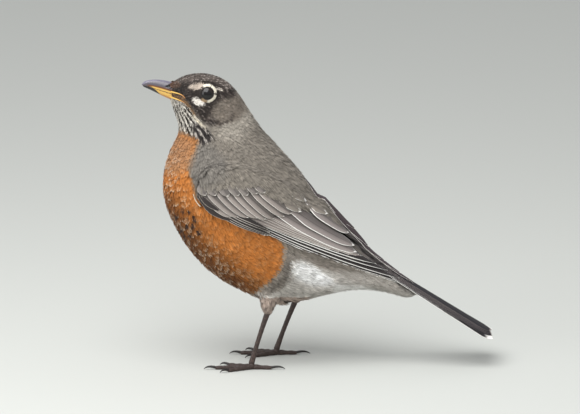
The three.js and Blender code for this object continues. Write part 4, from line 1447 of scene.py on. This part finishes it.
# The right wing's innermost feathers lap over the middle line and lie on top of the left wing's inner edge.
# They are vanes like the others, a little darker, and lie loosely, arched over the back.
LAP_ASIDE = 1.6  # how far past the middle line their shafts lie
LAP_SEED = 37
LAP_ARCH = [  # place along the bird, and how high they arch over the back there
    (-12, 0), (-4, 1), (4, 0.7), (10, 1.9), (16, 2.2), (20, 2.1), (25, 1.5), (30, 1), (38, 0.8), (50, 0.3),
    (58, 0),
]
LAP_PRIMARIES = dict(
    count=3, width=(8.0, 8.5), outside=0.5, roots=[(8, 87), (8, 87)],
    tips=[(57, 42), (46, 52), (37, 60)], bow=(0, 0), height=(0.4, 0.5),
    dip=0.6, roll=0.03, tip_from=0.7, pointed=1.6, ragged=0,
)
LAP_TERTIALS = dict(
    count=2, width=(8.5, 7.5), outside=0.5, roots=[(-7, 101), (-12, 106)],
    tips=[(27.6, 67), (19, 77)], bow=(0, 0), height=(0.6, 0.7),
    dip=1.3, roll=0.03, tip_from=0.7, pointed=2.0, ragged=0.006,
)


def on_ridge(x, h):
    """The place on top of the bird near its middle line at x, where the right wing laps over."""
    place, normal, _, _ = outer.ray_cast(Vector((x, LAP_ASIDE, 200)), Vector((0, 0, -1)))
    if place is None:
        place, normal, _, _ = outer.find_nearest(Vector((x, LAP_ASIDE, h)))
    return place, normal


lap_finish = vane_finish(
    "lapping vane", (64, 55, 57), (240, 236, 230), (46, 39, 40), (0.025, 0.04, 0.04), gloss=0.2
)
for name, row in (("lap_primaries_right", LAP_PRIMARIES), ("lap_tertials_right", LAP_TERTIALS)):
    bm = bmesh.new()
    lay_row(bm, row, np.random.default_rng(LAP_SEED), on_ridge, laps=True)
    add_piece(name, vane_mesh(name, bm, outward=(0, 0, 1)), lap_finish, "flight_feathers")

# ----------------------------------------------------------------------------------------------------------
# Tail: twelve long feathers in a closed fan, the middle pair on top. Dark, with fine pale edges and a white
# corner at the tip of the outer pairs.
TAIL_ROOT = (19.6, 66.2)
TAIL_SLOPE = math.radians(32.1)
TAIL_LENGTH = 91
TAIL_LONGER = 0.5  # each pair outwards than the one above it
TAIL_HALF_WIDTHS = (3.1, 5.9)  # at the root and near the tip
TAIL_THICK = 0.2
TAIL_CAMBER = 0.012
# From each pair to the next outwards: how far aside, how far down, and how much they are fanned and tilted.
TAIL_OUT = 0.75
TAIL_DROP = 0.26
TAIL_FAN = math.radians(0.8)
TAIL_TILT = math.radians(1)
TAIL_SEED = 41


def turned(first, second, angle):
    """Two coordinates turned from the second towards the first."""
    return (
        first * math.cos(angle) + second * math.sin(angle),
        second * math.cos(angle) - first * math.sin(angle),
    )


def tail_vane(bm, pair, side, tone):
    length = TAIL_LENGTH + pair * TAIL_LONGER

    def place(u, v):
        half = np.interp(v, [0, 0.92], TAIL_HALF_WIDTHS) * vane_outline(v, 0.9, 2.6)
        x, y = length * v, -side * u * half
        z = 0.55 - TAIL_CAMBER * y * y - 0.25 * (1 - v)
        y, z = turned(y, z, side * (pair + 0.4) * TAIL_TILT)
        y, x = turned(y, x, side * (pair + 0.5) * TAIL_FAN)
        x, z = turned(x, z - pair * TAIL_DROP, TAIL_SLOPE)
        return Vector((x + TAIL_ROOT[0], y + side * (pair + 0.5) * TAIL_OUT, z + TAIL_ROOT[1]))

    lay_vane(bm, place, tone, along=36)


tail_finish = vane_finish(
    "tail vane", (34, 31, 36), (150, 141, 137), (26, 23, 26), (0.022, 0.02, 0.012), strength=0.85, gloss=0.12
)
corner_finish = vane_finish(
    "tail corner vane", (30, 27, 30), (246, 243, 238), (24, 21, 24), (0.012, 0.02, 0.06), gloss=0.12
)
tail_rng = np.random.default_rng(TAIL_SEED)
for name, pairs, finish, replaced in (
    ("tail_outer", (5, 4), corner_finish, []),
    ("tail_inner", (3, 2, 1, 0), tail_finish, ["tail"]),
):
    bm = bmesh.new()
    for pair in pairs:
        for side in (-1, 1):
            tail_vane(bm, pair, side, tail_rng.uniform(0.93, 1.06))
    mesh = vane_mesh(name, bm, outward=(0, 0, 1), thick=TAIL_THICK)
    add_piece(name, mesh, finish, "tail_feathers", replaced)

# ----------------------------------------------------------------------------------------------------------
# Legs and feet: slim scaled shanks, three toes ahead and one behind with pads beneath, and curved claws.
# The left foot stands a step ahead. The soles rest flat on the floor.
ANKLES = {"left": (-28.5, -15.8, 31.6), "right": (-12.8, 15.8, 31.2)}
FEET = {"left": (-37.4, -17, 3.2), "right": (-23.4, 17, 3.2)}
TARSUS_RADII = [1.75, 1.45, 1.3, 1.35, 1.7]
SHANK_STEPS = 90
SHANK_RUNS_UP = 3.0  # into the thigh's feathers
SHANK_RUNS_DOWN = 0.6  # into the foot
SHANK_BOW = 0.35
SHANK_FLAT = 0.78
SCUTES = 9
SCUTE_DEEP = 0.05
FOOT_RADIUS = 2
FOOT_MIDDLE = 1.95
TOE_STEPS = 60
TOE_MIDDLE = 0.95
TOE_RADII = (1.5, 1.05)
TOE_RINGS = 13
TOE_RING_DEEP = 0.05
PAD_SWELL = 0.10
CLAW_STEPS = 24
CLAW_RADII = (0.8, 0.58, 0.12)
CLAW_FLAT = 0.8
TOES = [  # name, length, heading from straight ahead in degrees, claw's length, pads under it
    ("inner", 14.5, -27, 5.4, 3),
    ("middle", 20.5, 2, 6.2, 4),
    ("outer", 15, 29, 5.2, 4),
    ("hind", 11.5, 176, 7.6, 2),
]
SHANK_COLOUR = (*light_of((52, 39, 35)), 1)
SCALE_EDGE = (*light_of((74, 58, 51)), 1)
CLAW_COLOUR = (*light_of((30, 25, 23)), 1)


def scaled_skin(name, scale):
    """Dry scaled skin: dark plates with paler, worn edges."""
    material, tree, principled = shader(name, rough=0.5)
    place = tree.nodes.new("ShaderNodeTexCoord")
    plates = tree.nodes.new("ShaderNodeTexVoronoi")
    plates.feature = "DISTANCE_TO_EDGE"
    plates.inputs["Scale"].default_value = scale
    tree.links.new(place.outputs["Object"], plates.inputs["Vector"])
    worn = map_range(tree, plates.outputs["Distance"], 0, 0.12)
    plate = blend(tree, SCALE_EDGE, SHANK_COLOUR, worn)
    use_mottle(tree, principled, plate, scale=700, strength=0.6)
    raise_relief(tree, principled, worn, strength=0.6, deep=0.0002)
    return material


toe_finish = scaled_skin("toe scales", 1000)
shank_finish = scaled_skin("shank plates", 380)
claw_finish, claw_tree, claw_shader = shader("claw horn", rough=0.3)
use_mottle(claw_tree, claw_shader, CLAW_COLOUR, scale=800, strength=0.5)


def grooves(run, count, deep, sharp):
    """Radii's shares along a limb with shallow rings cut in, as between scales."""
    return 1 - deep * np.maximum(0, np.cos(run * count * 2 * math.pi)) ** sharp


def tube_mesh(name, bm, lowest=None):
    """A mesh of merged tubes, cut flat where they would lie lower than the ground."""
    bmesh.ops.remove_doubles(bm, verts=bm.verts, dist=CLOSE)
    if lowest is not None:
        for vert in bm.verts:
            vert.co.z = max(vert.co.z, lowest)
    return mesh_from(name, bm)


for side, outward in (("left", -1), ("right", 1)):
    ankle, foot = np.array(ANKLES[side]), np.array(FEET[side])
    shank_way = (foot - ankle) / np.linalg.norm(foot - ankle)
    start = ankle - shank_way * SHANK_RUNS_UP
    run = np.linspace(0, 1, SHANK_STEPS)
    line = start + (foot + shank_way * SHANK_RUNS_DOWN - start) * run[:, None]
    line[:, 0] -= SHANK_BOW * np.sin(run * math.pi)
    radii = smooth_line(TARSUS_RADII, run) * grooves(run, SCUTES, SCUTE_DEEP, 6)
    bm = bmesh.new()
    tube(bm, line, radii, around=24, flat=SHANK_FLAT)
    name = f"shank_{side}"
    add_piece(name, tube_mesh(name, bm), shank_finish, "leg", [f"tarsus_{side}"])

    toes_bm = bmesh.new()
    bmesh.ops.create_uvsphere(toes_bm, u_segments=24, v_segments=16, radius=FOOT_RADIUS)
    bmesh.ops.translate(toes_bm, vec=(foot[0], foot[1], FOOT_MIDDLE), verts=toes_bm.verts)
    for toe, length, heading, claw_length, pads in TOES:
        turn = math.radians(heading)
        ahead = np.array([-math.cos(turn), outward * math.sin(turn), 0])
        run = np.linspace(0, 1, TOE_STEPS)
        line = foot * [1, 1, 0] + ahead * (run * length)[:, None]
        line[:, 2] = TOE_MIDDLE + 0.5 * (1 - run) ** 1.5
        swell = 1 + PAD_SWELL * np.cos((run * pads - 0.5) * 2 * math.pi)
        radii = np.interp(run, [0, 1], TOE_RADII) * swell
        tube(toes_bm, line, radii * grooves(run, TOE_RINGS, TOE_RING_DEEP, 4), around=20)

        bends = (-0.5, TOE_MIDDLE + 0.15), (claw_length * 0.65, TOE_MIDDLE + 1.6), (claw_length, 0.3)
        root, bend, tip = (foot * [1, 1, 0] + ahead * (length + out) + [0, 0, up] for out, up in bends)
        run = np.linspace(0, 1, CLAW_STEPS)[:, None]
        curve = root * (1 - run) ** 2 + 2 * bend * run * (1 - run) + tip * run**2
        bm = bmesh.new()
        tube(bm, curve, np.interp(run[:, 0], [0, 0.5, 1], CLAW_RADII), flat=CLAW_FLAT)
        name = f"{side}_{toe}_claw"
        add_piece(name, tube_mesh(name, bm, lowest=0.02), claw_finish, "claw", [f"claw_{side}_{toe}"])
    name = f"toes_{side}"
    add_piece(name, tube_mesh(name, toes_bm, lowest=0), toe_finish, "leg", [f"foot_{side}"])
